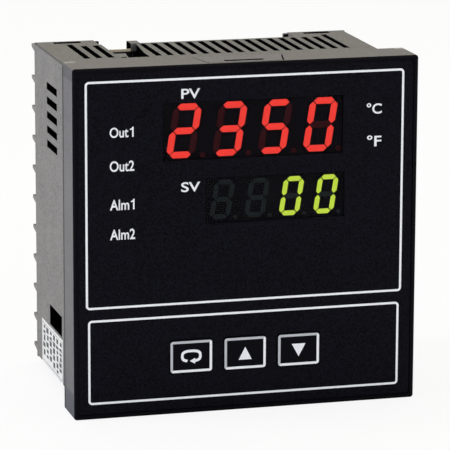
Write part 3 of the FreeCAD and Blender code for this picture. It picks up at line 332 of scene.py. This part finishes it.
def bezel_material():
    """Front frame: grained grey sides with painted light and shade, and a face and rim round the film's edge
    painted black as shade.
    """
    made, tree, shader = new_material("bezel_plastic")
    tone, fine, slow = moulded(tree, BEZEL_SIDE, GRAIN, BEZEL_PATCH, 0.3, 0.28)
    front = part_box("front_bezel")[0].y / MM
    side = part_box("front_bezel")[1].z / MM
    faces = (-side - 0.1, -side + 0.1), (side - 0.1, side + 0.1)
    # painted shadow line along the sides' rear edge, where the bezel meets the case
    seat_edge_shade = -1.4, 0.1
    groove = -3.5, -3.0
    # painted shade: the sides darker towards their upper and lower ends
    upper_end_shade = side - 3.5, side
    lower_end_shade = -side, -side + 7.0
    for face in faces:
        # painted light: top and bottom faces warmer and brighter, the sides cooler and a little darker
        for box, factor in (((None, None, face), (1.33, 1.24, 1.12)),
                            ((face, None, None), (0.93, 0.95, 1.0)),
                            ((face, seat_edge_shade, (-side, side - 1.1)), (0.2, 0.2, 0.22)),
                            ((face, groove, None), (0.9, 0.9, 0.9)),
                            ((face, None, upper_end_shade), (0.68, 0.68, 0.71)),
                            ((face, None, lower_end_shade), (0.66, 0.69, 0.78))):
            tone = tinted(tree, tone, box, factor)
    # painted highlight: light bars on the top face at its rear corners
    highlight_long, highlight_wide, highlight_factor = 2.9, (-2.2, 0.1), (1.8, 1.8, 1.8)
    for start in (-side + 0.4, side - 3.3):
        tone = tinted(tree, tone, ((start, start + highlight_long), highlight_wide, faces[1]), highlight_factor)
    rim = -side + 0.7, side - 0.7
    # painted shade: the notch walls round the case's tongue are near black
    tongue_gap_shade = (-12.95, 12.95), (front + 1.0, 0.1), (side - 2.8, side - 0.05)
    # painted shade: the recessed front and the front edge are painted near black, with the shine lowered
    recess = rim, (front - 1, front + 4.0), rim
    front_edge = None, (front - 1, front + 0.42), None
    tone, covered = painted(tree, tone, ((tongue_gap_shade, DARK), (recess, BEZEL_FRONT_SHADE), (front_edge, BEZEL_FRONT_SHADE)))
    tree.links.new(tone, shader.inputs["Base Color"])
    tree.links.new(spread(tree, slow, 0.5, 0.62), shader.inputs["Roughness"])
    tree.links.new(spread(tree, covered, 0.2, FRONT_SHINE, 0.0, 1.0), shader.inputs["Specular IOR Level"])
    bump(tree, shader, fine, GRAIN_BUMP, GRAIN_DEPTH)
    return made


def sheet_material():
    """Cream insulating sheet, with painted shade where it lies deep in the case."""
    made, tree, shader = new_material("insulating_sheet")
    fibre = noise(tree, 1800.0, 4.0, 0.6, (1.0, 1.0, 0.3))
    cream = ramp(tree, fibre, ((0.3, (0.8, 0.69, 0.5)), (0.7, (0.93, 0.84, 0.66))))
    # painted shade: near black below the case's top plate
    shaded_part = None, None, (0, 43.5)
    tree.links.new(mix(tree, within(tree, shaded_part), cream, DARK), shader.inputs["Base Color"])
    tree.links.new(spread(tree, fibre, 0.5, 0.7), shader.inputs["Roughness"])
    bump(tree, shader, fibre, 0.3, 0.02)
    return made


def half_turned(box):
    """A box after half a turn round y: the bottom's clamp opening is the top's, half turned."""
    x, y, z = box
    return (-x[1], -x[0]), y, (-z[1], -z[0])


def case_zones():
    """Boxes in mm, with their colours, of painted shade: darker long edges, and near black on the case's
    inside, slot walls, the gap round the tongue and the shaded hook faces.
    """
    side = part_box("rear_case")[1].x / MM
    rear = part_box("rear_case")[1].y / MM + 0.1
    skin = side - 0.1
    corner = side - 1.0
    column = side - 16.8
    front = -9
    wall = 38.2, 40.2
    inner = side - 5
    hook_side = (-19.9, -19.7), (39.0, 44.1), (35.0, 46.1)
    hook_foot = (-19.9, -16.8), (39.0, 40.4), (35.0, 43.4)
    opening_end = (-18.5, -17.8), (38.0, 39.05), (40.0, skin)
    # painted shade: the case's faces in the gap round the tongue are near black
    tongue_gap_shade = (-14, 14), (-12, -1.3), (side - 1, side + 2.5)
    # painted shade: near black over the case's inside and slot walls, the columns' insides, the tongue gap
    # and the hook faces
    whole = [
        ((-skin, skin), (front, wall[0]), (-corner, corner)),
        ((-corner, corner), (front, wall[0]), (-skin, skin)),
        ((-corner, corner), wall, (-inner, inner)),
        tongue_gap_shade,
    ]
    twice = [
        ((-16.7, corner), wall, (inner, skin)),
        ((column, corner), (wall[0], rear), (-skin, skin)),
        ((column, skin), (wall[0], rear), (-corner, corner)),
        hook_side, hook_foot, opening_end,
    ]
    # painted shade: the case's four long edges are darker
    shaded_edge = side - 0.39, side - 0.01
    ends = shaded_edge, (-shaded_edge[1], -shaded_edge[0])
    edges = [((x, None, z), shade(CASE_GREY, 0.6)) for x in ends for z in ends]
    return edges + [(box, DARK) for box in whole + twice + [half_turned(box) for box in twice]]


# painted light: the case's top tinted warmer and the tongue's top brighter
TOP_FACE, TONGUE_FACE = (45.3, 46.0), (47.9, 48.1)
BLOCK_RECESS, EAR_TIP = (None, (40, 46.9), None), ((-28.0, -27.0), None, (44.0, 46.0))
case_plastic = plastic("case_plastic", shade(CASE_GREY, 0.87), 0.58, 3600.0, vary=0.45, shine=0.3,
                       tints=(((None, None, TOP_FACE), (0.98, 0.96, 0.87)),
                              ((None, None, TONGUE_FACE), (1.05, 1.0, 0.96))),
                       zones=case_zones())
# painted shade: the block's part inside the case's columns is near black; the ear's tip is near black as well
block_plastic = plastic("block_plastic", shade(CASE_GREY, 0.9), 0.5, vary=0.3, shine=0.3,
                        zones=((BLOCK_RECESS, DARK), (EAR_TIP, DARK)))
black_plastic = plastic("black_plastic", (0.02, 0.02, 0.022), 0.4, 3000.0)
module_black = plastic("module_black", (0.0056, 0.005, 0.0078), 0.6, 4000.0, vary=0.03, shine=FRONT_SHINE)
module_grey = plastic("module_grey", (0.0088, 0.0088, 0.0118), 0.6, 4000.0, vary=0.03, shine=FRONT_SHINE)
relay_black = plastic("relay_black", (0.018, 0.018, 0.02), 0.28, 1500.0, depth=0.01)
natural_plastic = plastic("natural_plastic", (0.62, 0.58, 0.46), 0.45, 2500.0)
sleeve_plastic = plastic("sleeve_plastic", (0.02, 0.03, 0.09), 0.3, 1500.0, depth=0.01)
key_plastic = plastic("key_plastic", (0.0026, 0.0026, 0.005), depth=0.012, shine=FRONT_SHINE)
lamp_plastic = plastic("lamp_plastic", (0.5, 0.05, 0.03), 0.2, 1200.0, depth=0.005)
zinc = metal("zinc_plate", (0.74, 0.73, 0.69), 0.28)
tin = metal("tin_plate", (0.76, 0.75, 0.72), 0.33)
solder = metal("solder", (0.7, 0.7, 0.7), 0.22, (1.0, 1.0, 1.0))
label_stock = ink("label_stock", (0.78, 0.79, 0.8))
# painted light: the white and grey inks glow a little
white_ink = ink("white_ink", WHITE_INK, 0.2)
grey_ink = ink("grey_ink", (0.56, 0.58, 0.64), 0.08)
label_ink = ink("label_ink", (0.035, 0.04, 0.05))
bezel_plastic = bezel_material()
green_board = board_material()

finishes = {
    "rear_case": case_plastic, "terminal_block_left": block_plastic, "terminal_block_right": block_plastic,
    "terminal_plates_left": tin, "terminal_plates_right": tin, "terminal_screws": zinc,
    "rating_label": label_stock, "front_bezel": bezel_plastic, "front_overlay": film_material(),
    "display_lens": lens_material(), "pv_display": module_black, "sv_display": module_grey,
    "pv_lit_segments": segment_material("red_lit", RED_GLOW, 1.6, (0.4, 0.02, 0.02)),
    "pv_dark_segments": segment_material("red_unlit", RED_GLOW, 0.0, (0.13, 0.012, 0.016)),
    "sv_lit_segments": segment_material("lime_lit", LIME_GLOW, 1.65, (0.2, 0.3, 0.02)),
    "sv_dark_segments": segment_material("lime_unlit", LIME_GLOW, 0.0, (0.045, 0.062, 0.062)),
    "indicator_leds": lamp_plastic, "key_scroll": key_plastic, "key_up": key_plastic, "key_down": key_plastic,
    "switch_button_scroll": black_plastic, "switch_button_up": black_plastic,
    "switch_button_down": black_plastic, "tact_switches": tin, "display_board": green_board,
    "board_screws": zinc, "main_board": green_board, "power_board": green_board,
    "transformer_coil": tape_material(), "transformer_core": core_material(), "output_relays": relay_black,
    "filter_capacitors": sleeve_plastic, "microcontroller": black_plastic,
    "board_connectors": natural_plastic, "rear_insulation": sheet_material(),
}
for node_name, finish in finishes.items():
    node = nodes[node_name]
    node.data.materials.clear()
    node.data.materials.append(finish)


# ---------------------------------------------------------------- pieces

def add_piece(name, work, material, body):
    """Makes a mesh object from a bmesh, gives it its material and lets it ride on a body."""
    mesh = bpy.data.meshes.new(name)
    bmesh.ops.recalc_face_normals(work, faces=work.faces)
    work.to_mesh(mesh)
    work.free()
    piece = bpy.data.objects.new(name, mesh)
    bpy.context.scene.collection.objects.link(piece)
    mesh.materials.append(material)
    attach(piece, body)
    return piece


def round_rect(left, right, low, high, radius):
    """Points round a rectangle with rounded corners."""
    steps = 8
    points = []
    for cx, cz, start in ((right - radius, high - radius, 0), (left + radius, high - radius, 90),
                          (left + radius, low + radius, 180), (right - radius, low + radius, 270)):
        for step in range(steps + 1):
            angle = math.radians(start + 90 * step / steps)
            points.append((cx + radius * math.cos(angle), cz + radius * math.sin(angle)))
    return points


def front_point(x, z, y):
    """A point from x and z in mm and y in metres."""
    return Vector((x * MM, y, z * MM))


def join_loops(work, first, second):
    """Faces between two closed loops of equal length."""
    for spot in range(len(first)):
        after = (spot + 1) % len(first)
        work.faces.new((first[spot], first[after], second[after], second[spot]))


def front_loop(work, outline, y):
    """Vertices along an outline in x and z."""
    return [work.verts.new(front_point(x, z, y)) for x, z in outline]


def add_ring(work, outer, inner, face, thick):
    """A flat ring between two loops of equal length; its front is at face, its back thick behind."""
    loops = [front_loop(work, outline, y) for outline, y in
             ((outer, face), (inner, face), (inner, face + thick), (outer, face + thick))]
    for first, second in zip(loops, loops[1:] + loops[:1]):
        join_loops(work, first, second)


def add_plate(work, outline, face, thick):
    """A flat plate with the given outline in x and z."""
    front = front_loop(work, outline, face)
    rear = front_loop(work, outline, face + thick)
    work.faces.new(front)
    work.faces.new(list(reversed(rear)))
    join_loops(work, front, rear)


def frame_line(name, left, right, low, high, radius, width, face, body):
    """A printed white line round a rounded rectangle."""
    work = bmesh.new()
    add_ring(work, round_rect(left, right, low, high, radius),
             round_rect(left + width, right - width, low + width, high - width, radius - width),
             face - INK, INK)
    return add_piece(name, work, white_ink, body)


FRAME_RADIUS, FRAME_LINE = 1.1, 0.6
PRINT_WEIGHT = 0.018
for name, left, right, low, high in (("upper_frame_print", -44.62, 44.07, -17.57, 44.47),
                                     ("lower_frame_print", -44.07, 43.47, -43.97, -20.53)):
    frame_line(name, left, right, low, high, FRAME_RADIUS, FRAME_LINE, FILM_FACE, "chassis")


def add_words(name, words, left, right, low, high, face, material, body, weight=PRINT_WEIGHT,
              depth=INK):
    """Printed or raised words that fill the given box on a face that looks to the front."""
    curve = bpy.data.curves.new(name + "_curve", "FONT")
    curve.body = words
    curve.offset = weight
    source = bpy.data.objects.new(name + "_curve", curve)
    bpy.context.scene.collection.objects.link(source)
    bpy.context.view_layer.update()
    flat = bpy.data.meshes.new_from_object(source.evaluated_get(bpy.context.evaluated_depsgraph_get()))
    bpy.data.objects.remove(source)
    xs = [vertex.co.x for vertex in flat.vertices]
    ys = [vertex.co.y for vertex in flat.vertices]
    across = (right - left) / (max(xs) - min(xs))
    up = (high - low) / (max(ys) - min(ys))
    work = bmesh.new()
    work.from_mesh(flat)
    bpy.data.meshes.remove(flat)
    for vertex in work.verts:
        x = left + (vertex.co.x - min(xs)) * across
        z = low + (vertex.co.y - min(ys)) * up
        vertex.co = front_point(x, z, face)
    bmesh.ops.remove_doubles(work, verts=work.verts, dist=1e-7)
    thickness = bmesh.ops.extrude_face_region(work, geom=list(work.faces))
    for item in thickness["geom"]:
        if isinstance(item, bmesh.types.BMVert):
            item.co.y -= depth
    return add_piece(name, work, material, body)


def add_one(work, left, low, high):
    """The figure 1 on the film, as an upright with a flag."""
    right = left + 1.0
    bar = (right - left) * 0.42
    rise = high - low
    add_plate(work, ((right - bar, low), (right, low), (right, high), (right - bar * 0.8, high),
                     (right - bar * 1.25, high - rise * 0.13), (left, high - rise * 0.2),
                     (left, high - rise * 0.31), (right - bar, high - rise * 0.27)), FILM_FACE - INK, INK)


LABELS = (
    ("pv", "PV", -18.3, -13.1, 38.78, 41.5), ("sv", "SV", -18.3, -13.0, 13.39, 16.11),
    ("out_a", "Out", -37.9, -32.75, 29.1, 31.9), ("out_b", "Out2", -37.9, -31.2, 19.9, 22.8),
    ("alarm_a", "Alm", -37.9, -32.6, 9.4, 12.3), ("alarm_b", "Alm2", -37.9, -31.0, 1.3, 4.2),
    ("celsius", "°C", 33.5, 37.8, 32.3, 35.3), ("fahrenheit", "°F", 33.7, 37.8, 23.3, 26.4),
)
for word, text, left, right, low, high in LABELS:
    add_words("label_" + word, text, left, right, low, high, FILM_FACE, white_ink, "chassis")
ones = bmesh.new()
add_one(ones, -32.35, 29.15, 31.9)
add_one(ones, -32.15, 9.45, 12.3)
add_piece("label_ones", ones, white_ink, "chassis")


# ---------------------------------------------------------------- keys

KEY_HALF_WIDTH = 5.82
KEY_HALF_HEIGHT = 4.37
KEY_RADIUS = 0.75
KEY_LINE = 0.68


def key_print(word, symbol):
    """A key's frame, grey towards its upper left, and its symbol."""
    low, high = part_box("key_" + word)
    x = (low.x + high.x) / 2 / MM
    z = (low.z + high.z) / 2 / MM
    left, right = x - KEY_HALF_WIDTH, x + KEY_HALF_WIDTH
    bottom, top = z - KEY_HALF_HEIGHT, z + KEY_HALF_HEIGHT
    line = frame_line("key_%s_frame_print" % word, left, right, bottom, top, KEY_RADIUS, KEY_LINE, KEY_FACE,
                      "key_" + word)
    line.data.materials.append(grey_ink)
    for face in line.data.polygons:
        if (face.center.z / MM - z) / KEY_HALF_HEIGHT > (face.center.x / MM - x) / KEY_HALF_WIDTH:
            face.material_index = 1
    work = bmesh.new()
    symbol(work, x, z)
    add_piece("key_%s_symbol_print" % word, work, white_ink, "key_" + word)


def up_arrow(work, x, z):
    """A triangle that points up."""
    add_plate(work, ((x - 1.85, z - 1.85), (x + 1.85, z - 1.85), (x, z + 1.7)), KEY_FACE - INK, INK)


def down_arrow(work, x, z):
    """A triangle that points down."""
    add_plate(work, ((x - 1.95, z + 1.65), (x, z - 1.95), (x + 1.95, z + 1.65)), KEY_FACE - INK, INK)


def loop_arrow(work, x, z):
    """A flat loop, open at its lower left, whose lower right end is an arrowhead."""
    half_wide, half_high, line = 2.52, 1.4, 0.36
    start, sweep, steps, squareness = -77.6, 329.8, 60, 0.7
    middle_z = z + 0.14
    outer, inner = [], []
    for step in range(steps + 1):
        angle = math.radians(start + sweep * step / steps)
        reach_x = math.copysign(abs(math.cos(angle)) ** squareness, math.cos(angle))
        reach_z = math.copysign(abs(math.sin(angle)) ** squareness, math.sin(angle))
        outer.append((x + (half_wide + line) * reach_x, middle_z + (half_high + line) * reach_z))
        inner.append((x + (half_wide - line) * reach_x, middle_z + (half_high - line) * reach_z))
    face = KEY_FACE - INK
    rows = [front_loop(work, outline, y) for outline, y in
            ((outer, face), (inner, face), (inner, KEY_FACE), (outer, KEY_FACE))]
    for first, second in zip(rows, rows[1:] + rows[:1]):
        for spot in range(steps):
            work.faces.new((first[spot], first[spot + 1], second[spot + 1], second[spot]))
    for end in (0, steps):
        work.faces.new([row[end] for row in rows])
    tip_z = middle_z - half_high
    add_plate(work, ((x - 0.44, tip_z), (x + 1.05, tip_z - 0.82), (x + 1.05, tip_z + 0.82)), face, INK)


key_print("scroll", loop_arrow)
key_print("up", up_arrow)
key_print("down", down_arrow)


# ---------------------------------------------------------------- side label

tag_low, tag_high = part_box("rating_label")
tag_front, tag_rear = tag_low.y / MM, tag_high.y / MM
tag_bottom, tag_top = tag_low.z / MM, tag_high.z / MM
TAG_MARGIN, TAG_LINE, TAG_HEADER = 0.7, 0.14, 2.9
BAR_COLUMNS, BAR_PITCH, BAR_START = 6, 4.25, 1.7
BAR_TOP, BAR_BOTTOM = 1.3, 2.2


def side_plate(work, front, rear, low, high):
    """A printed patch on the label on the case's left side."""
    corners = []
    for x in (tag_low.x - INK, tag_low.x):
        for y, z in ((front, low), (rear, low), (rear, high), (front, high)):
            corners.append(work.verts.new(Vector((x, y * MM, z * MM))))
    for quad in ((0, 1, 2, 3), (7, 6, 5, 4), (0, 4, 5, 1), (1, 5, 6, 2), (2, 6, 7, 3), (3, 7, 4, 0)):
        work.faces.new([corners[spot] for spot in quad])


lines = bmesh.new()
blanks = bmesh.new()
left, right = tag_front + TAG_MARGIN, tag_rear - TAG_MARGIN
bottom, top = tag_bottom + TAG_MARGIN, tag_top - TAG_MARGIN
for level in (top, top - TAG_HEADER, bottom + TAG_LINE):
    side_plate(lines, left, right, level - TAG_LINE, level)
for y in (left, right - TAG_LINE):
    side_plate(lines, y, y + TAG_LINE, bottom, top)
draw = random.Random(7)
for column in range(BAR_COLUMNS):
    y = tag_front + BAR_START + BAR_PITCH * column
    z = tag_top - BAR_TOP
    while z > tag_bottom + BAR_BOTTOM:
        height = draw.uniform(0.8, 1.8)
        side_plate(blanks, y, y + draw.uniform(2.0, 3.0), z - height, z)
        z -= height + draw.uniform(0.35, 0.7)
add_piece("rating_label_lines", lines, label_ink, "case")
add_piece("rating_label_bars", blanks, label_ink, "case")


# ---------------------------------------------------------------- inside

def add_block(work, low, high):
    """A small box with slightly bevelled edges, between two corners in mm."""
    made = bmesh.ops.create_cube(work, size=1.0)["verts"]
    centre = (Vector(low) + Vector(high)) / 2 * MM
    size = (Vector(high) - Vector(low)) * MM
    for vertex in made:
        vertex.co = Vector((vertex.co.x * size.x, vertex.co.y * size.y, vertex.co.z * size.z)) + centre
    edges = list({edge for vertex in made for edge in vertex.link_edges})
    bmesh.ops.bevel(work, geom=edges, offset=min(size) * 0.12, segments=2, affect="EDGES", profile=0.6)


def add_dome(work, centre, radius, height, axis):
    """A low solder cone on a board; axis is the way it points."""
    turn = Vector((0, 0, 1)).rotation_difference(Vector(axis)).to_matrix().to_4x4()
    rings = ((1.0, 0.0), (0.85, 0.25), (0.5, 0.6), (0.28, 1.0))
    steps = 10
    loops = []
    for share, rise in rings:
        loops.append([work.verts.new(Vector(centre) * MM + turn @ Vector((
            radius * share * math.cos(2 * math.pi * step / steps) * MM,
            radius * share * math.sin(2 * math.pi * step / steps) * MM, height * rise * MM)))
            for step in range(steps)])
    for lower, upper in zip(loops, loops[1:]):
        join_loops(work, lower, upper)
    work.faces.new(loops[-1])
    work.faces.new(list(reversed(loops[0])))


def board_face(node_name, side):
    """x of a board's face in mm: the lower side is 0, the higher 1."""
    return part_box(node_name)[side].x / MM


def solder_joints(name, x, axis, seed):
    """Rows of joints on a side board's outer face."""
    columns, column_start, column_pitch = 9, 3.5, 4.0
    rows, row_start, row_pitch = 22, -39.0, 3.7
    radius, height, filled = 0.75, 0.55, 0.5
    work = bmesh.new()
    draw = random.Random(seed)
    for column in range(columns):
        y = column_start + column_pitch * column
        for row in range(rows):
            if draw.random() < filled:
                z = row_start + row_pitch * row
                add_dome(work, (x, y, z), radius, height, (axis, 0, 0))
    add_piece(name, work, solder, "chassis")


solder_joints("power_board_joints", board_face("power_board", 0), -1, 3)
solder_joints("main_board_joints", board_face("main_board", 1), 1, 5)


def chip_legs():
    """Gull-wing legs on all four sides of the processor."""
    low, high = (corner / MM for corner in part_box("microcontroller"))
    gaps, inset, reach, half, thick = 10, 1.0, 1.0, 0.2, 0.15
    work = bmesh.new()
    board = board_face("main_board", 0)
    for step in range(gaps + 1):
        along = low.y + inset + step * (high.y - low.y - 2 * inset) / gaps
        up = low.z + inset + step * (high.z - low.z - 2 * inset) / gaps
        for z, way in ((low.z, -1), (high.z, 1)):
            add_block(work, (board - thick, along - half, min(z, z + way * reach)),
                      (board, along + half, max(z, z + way * reach)))
        for y, way in ((low.y, -1), (high.y, 1)):
            add_block(work, (board - thick, min(y, y + way * reach), up - half),
                      (board, max(y, y + way * reach), up + half))
    add_piece("microcontroller_legs", work, tin, "chassis")


def small_parts(name, inner_x, way, spots, material, seed):
    """Chip resistors and small cases on a board's inner face."""
    work = bmesh.new()
    draw = random.Random(seed)
    for y, z in spots:
        length = draw.choice((1.6, 2.0, 3.2))
        thick = draw.uniform(0.5, 1.0)
        near, far = sorted((inner_x, inner_x + way * thick))
        add_block(work, (near, y - length / 2, z - length / 3.2), (far, y + length / 2, z + length / 3.2))
    add_piece(name, work, material, "chassis")


chip_legs()
main_spots = [(8.0 + 4.2 * column, -14.5 + 4.1 * row) for column in range(6) for row in range(8)
              if not (column in (1, 2, 3, 4) and 1 < row < 6)]
small_parts("main_board_chips", board_face("main_board", 0), -1, main_spots, black_plastic, 11)
power_spots = [(4.0 + 3.6 * column, 18.0 + 3.4 * row) for column in range(3) for row in range(5)]
small_parts("power_board_chips", board_face("power_board", 1), 1, power_spots, natural_plastic, 12)


def bobbin():
    """Flanges at the coil's ends and the terminal strip at its foot."""
    low, high = (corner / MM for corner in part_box("transformer_coil"))
    core_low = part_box("transformer_core")[0] / MM
    work = bmesh.new()
    flange, overhang, skin = 0.9, 0.35, 0.01
    for y in (low.y, high.y - flange):
        add_block(work, (low.x - overhang, y - skin, low.z - overhang),
                  (high.x + overhang, y + flange, high.z + 0.15))
    add_block(work, (board_face("power_board", 1), low.y + 1.0, low.z + 1.0),
              (low.x + 0.2, core_low.y - 0.3, high.z - 6.0))
    add_piece("transformer_bobbin", work, black_plastic, "chassis")


bobbin()


def can_tops():
    """Bare aluminium ends with a scored cross on the capacitors."""
    work = bmesh.new()
    scores = bmesh.new()
    low, high = (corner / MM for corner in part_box("filter_capacitors"))
    x = low.x
    radius = (high.x - low.x) * 5 / 16
    score, half = 3.3, 0.14
    turn = Matrix.Rotation(math.radians(90), 4, "Y")
    for y in (low.y + radius, high.y - radius):
        for z in (low.z + radius, high.z - radius):
            place = Matrix.Translation(Vector((x, y, z)) * MM)
            bmesh.ops.create_cone(work, cap_ends=True, segments=40, radius1=4.45 * MM, radius2=4.25 * MM,
                                  depth=0.1 * MM, matrix=place @ turn)
            add_block(scores, (x - 0.09, y - score, z - half), (x - 0.03, y + score, z + half))
            add_block(scores, (x - 0.1, y - half, z - score), (x - 0.04, y + half, z + score))
    add_piece("capacitor_ends", work, tin, "chassis")
    add_piece("capacitor_scores", scores, black_plastic, "chassis")


can_tops()


def header_pins():
    """Square pins that stand out of both board headers."""
    work = bmesh.new()
    low, high = (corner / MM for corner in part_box("board_connectors"))
    inset, half, pitch, count = 1.25, 0.3, 2.5, 11
    for x in (low.x + inset, high.x - inset):
        for step in range(count):
            z = pitch * (step - (count - 1) / 2)
            add_block(work, (x - half, high.y - 0.1, z - half), (x + half, high.y + 1.4, z + half))
    add_piece("connector_pins", work, tin, "chassis")


header_pins()


# ---------------------------------------------------------------- terminals

REAR_FLANGE = 1.2
NUMBER_X, NUMBER_HALF_WIDTH, NUMBER_HALF_HEIGHT = 30.8, 0.62, 1.0
NUMBER_WEIGHT, NUMBER_RELIEF = 0.02, 0.15 * MM


def screw_rows():
    """Heights of the terminals in mm, from the screws' own heads, top first."""
    heights = sorted(vertex.co.z / MM for vertex in nodes["terminal_screws"].data.vertices)
    least_gap = 1.0
    groups = [[heights[0]]]
    for height in heights[1:]:
        if height - groups[-1][-1] > least_gap:
            groups.append([])
        groups[-1].append(height)
    return [(group[0] + group[-1]) / 2 for group in reversed(groups)]


def terminal_numbers():
    """Raised numbers beside the terminals, read from the rear."""
    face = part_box("rear_case")[1].y + REAR_FLANGE * MM
    turn = Matrix.Rotation(math.pi, 4, "Z")
    for side, start, block in ((1, 1, "terminal_block_right"), (-1, 11, "terminal_block_left")):
        for row, z in enumerate(screw_rows()):
            number = str(start + row)
            half = NUMBER_HALF_WIDTH * len(number)
            piece = add_words("terminal_number_" + number, number, -half, half, z - NUMBER_HALF_HEIGHT,
                              z + NUMBER_HALF_HEIGHT, 0.0, block_plastic, "case", NUMBER_WEIGHT,
                              NUMBER_RELIEF)
            piece.data.transform(Matrix.Translation((side * NUMBER_X * MM, face, 0.0)) @ turn)


terminal_numbers()


# ---------------------------------------------------------------- floor, lights, camera

FLOOR_LIFT = 0.88
FLOOR_REACH = 4.0


def floor_material():
    """Plain pale floor; seen directly it is lifted to white, and from below it isn't seen."""
    made = bpy.data.materials.new("floor")
    made.use_nodes = True
    tree = made.node_tree
    tree.nodes.clear()
    output = tree.nodes.new("ShaderNodeOutputMaterial")
    diffuse = tree.nodes.new("ShaderNodeBsdfDiffuse")
    diffuse.inputs["Color"].default_value = (0.88, 0.88, 0.88, 1)
    glow = tree.nodes.new("ShaderNodeEmission")
    glow.inputs["Color"].default_value = WHITE
    lift = tree.nodes.new("ShaderNodeMixShader")
    seen = tree.nodes.new("ShaderNodeLightPath")
    share = tree.nodes.new("ShaderNodeMath")
    share.operation = "MULTIPLY"
    share.inputs[1].default_value = FLOOR_LIFT
    tree.links.new(seen.outputs["Is Camera Ray"], share.inputs[0])
    tree.links.new(share.outputs[0], lift.inputs[0])
    tree.links.new(diffuse.outputs[0], lift.inputs[1])
    tree.links.new(glow.outputs[0], lift.inputs[2])
    clear = tree.nodes.new("ShaderNodeBsdfTransparent")
    sides = tree.nodes.new("ShaderNodeMixShader")
    geometry = tree.nodes.new("ShaderNodeNewGeometry")
    tree.links.new(geometry.outputs["Backfacing"], sides.inputs[0])
    tree.links.new(lift.outputs[0], sides.inputs[1])
    tree.links.new(clear.outputs[0], sides.inputs[2])
    tree.links.new(sides.outputs[0], output.inputs["Surface"])
    return made


floor_mesh = bpy.data.meshes.new("floor")
floor_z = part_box("front_bezel")[0].z
floor_mesh.from_pydata([(x * FLOOR_REACH, y * FLOOR_REACH, floor_z)
                        for x, y in ((-1, -1), (1, -1), (1, 1), (-1, 1))], [], [(0, 1, 2, 3)])
floor = bpy.data.objects.new("floor", floor_mesh)
bpy.context.scene.collection.objects.link(floor)
floor_mesh.materials.append(floor_material())

world = bpy.data.worlds.new("studio")
bpy.context.scene.world = world
world.use_nodes = True
tree = world.node_tree
sky = tree.nodes["Background"]
sky.inputs["Color"].default_value = WHITE
sky.inputs["Strength"].default_value = 0.42
seen_sky = tree.nodes.new("ShaderNodeBackground")
seen_sky.inputs["Color"].default_value = WHITE
choice = tree.nodes.new("ShaderNodeMixShader")
path = tree.nodes.new("ShaderNodeLightPath")
tree.links.new(path.outputs["Is Camera Ray"], choice.inputs[0])
tree.links.new(sky.outputs[0], choice.inputs[1])
tree.links.new(seen_sky.outputs[0], choice.inputs[2])
tree.links.new(choice.outputs[0], tree.nodes["World Output"].inputs["Surface"])


def add_light(name, place, target, size, watts, colour):
    """A round soft lamp that looks at its target."""
    data = bpy.data.lights.new(name, "AREA")
    data.shape = "DISK"
    data.size = size
    data.energy = watts
    data.color = colour
    light = bpy.data.objects.new(name, data)
    bpy.context.scene.collection.objects.link(light)
    light.location = place
    light.rotation_mode = "QUATERNION"
    light.rotation_quaternion = (Vector(target) - Vector(place)).to_track_quat("-Z", "Y")


add_light("key_light", (-1.1, 0.15, 0.55), (0, 0.02, 0), 0.7, 9.0, (0.965, 0.965, 1.0))
add_light("top_light", (0.1, 0.3, 1.2), (0, 0.02, 0), 0.8, 6.3, (1.0, 0.94, 0.82))
add_light("front_fill", (0.5, -1.3, 0.5), (0, 0, 0), 0.9, 3.5, (1.0, 1.0, 1.0))

CAMERA_AZIMUTH, CAMERA_ELEVATION, CAMERA_ROLL = -15.26, 12.61, 0.21
CAMERA_DISTANCE, CAMERA_TARGET = 0.8905, (-2.8, 0.0, 0.95)
FOCAL_PIXELS, SENSOR, PIXELS = 3258.0, 36.0, 450.0
azimuth, elevation, roll = (math.radians(angle) for angle in (CAMERA_AZIMUTH, CAMERA_ELEVATION, CAMERA_ROLL))
back = Vector((math.sin(azimuth) * math.cos(elevation), -math.cos(azimuth) * math.cos(elevation),
               math.sin(elevation)))
right = Vector((math.cos(azimuth), math.sin(azimuth), 0.0))
up = back.cross(right)
camera_right = right * math.cos(roll) + up * math.sin(roll)
camera_up = up * math.cos(roll) - right * math.sin(roll)
camera_data = bpy.data.cameras.new("camera")
camera_data.sensor_width = SENSOR
camera_data.lens = FOCAL_PIXELS * SENSOR / PIXELS
camera_data.clip_start = 0.05
camera = bpy.data.objects.new("camera", camera_data)
bpy.context.scene.collection.objects.link(camera)
place = Matrix((camera_right, camera_up, back)).transposed().to_4x4()
place.translation = Vector(CAMERA_TARGET) * MM + back * CAMERA_DISTANCE
camera.matrix_world = place
bpy.context.scene.camera = camera
bpy.context.scene.view_settings.view_transform = "Standard"
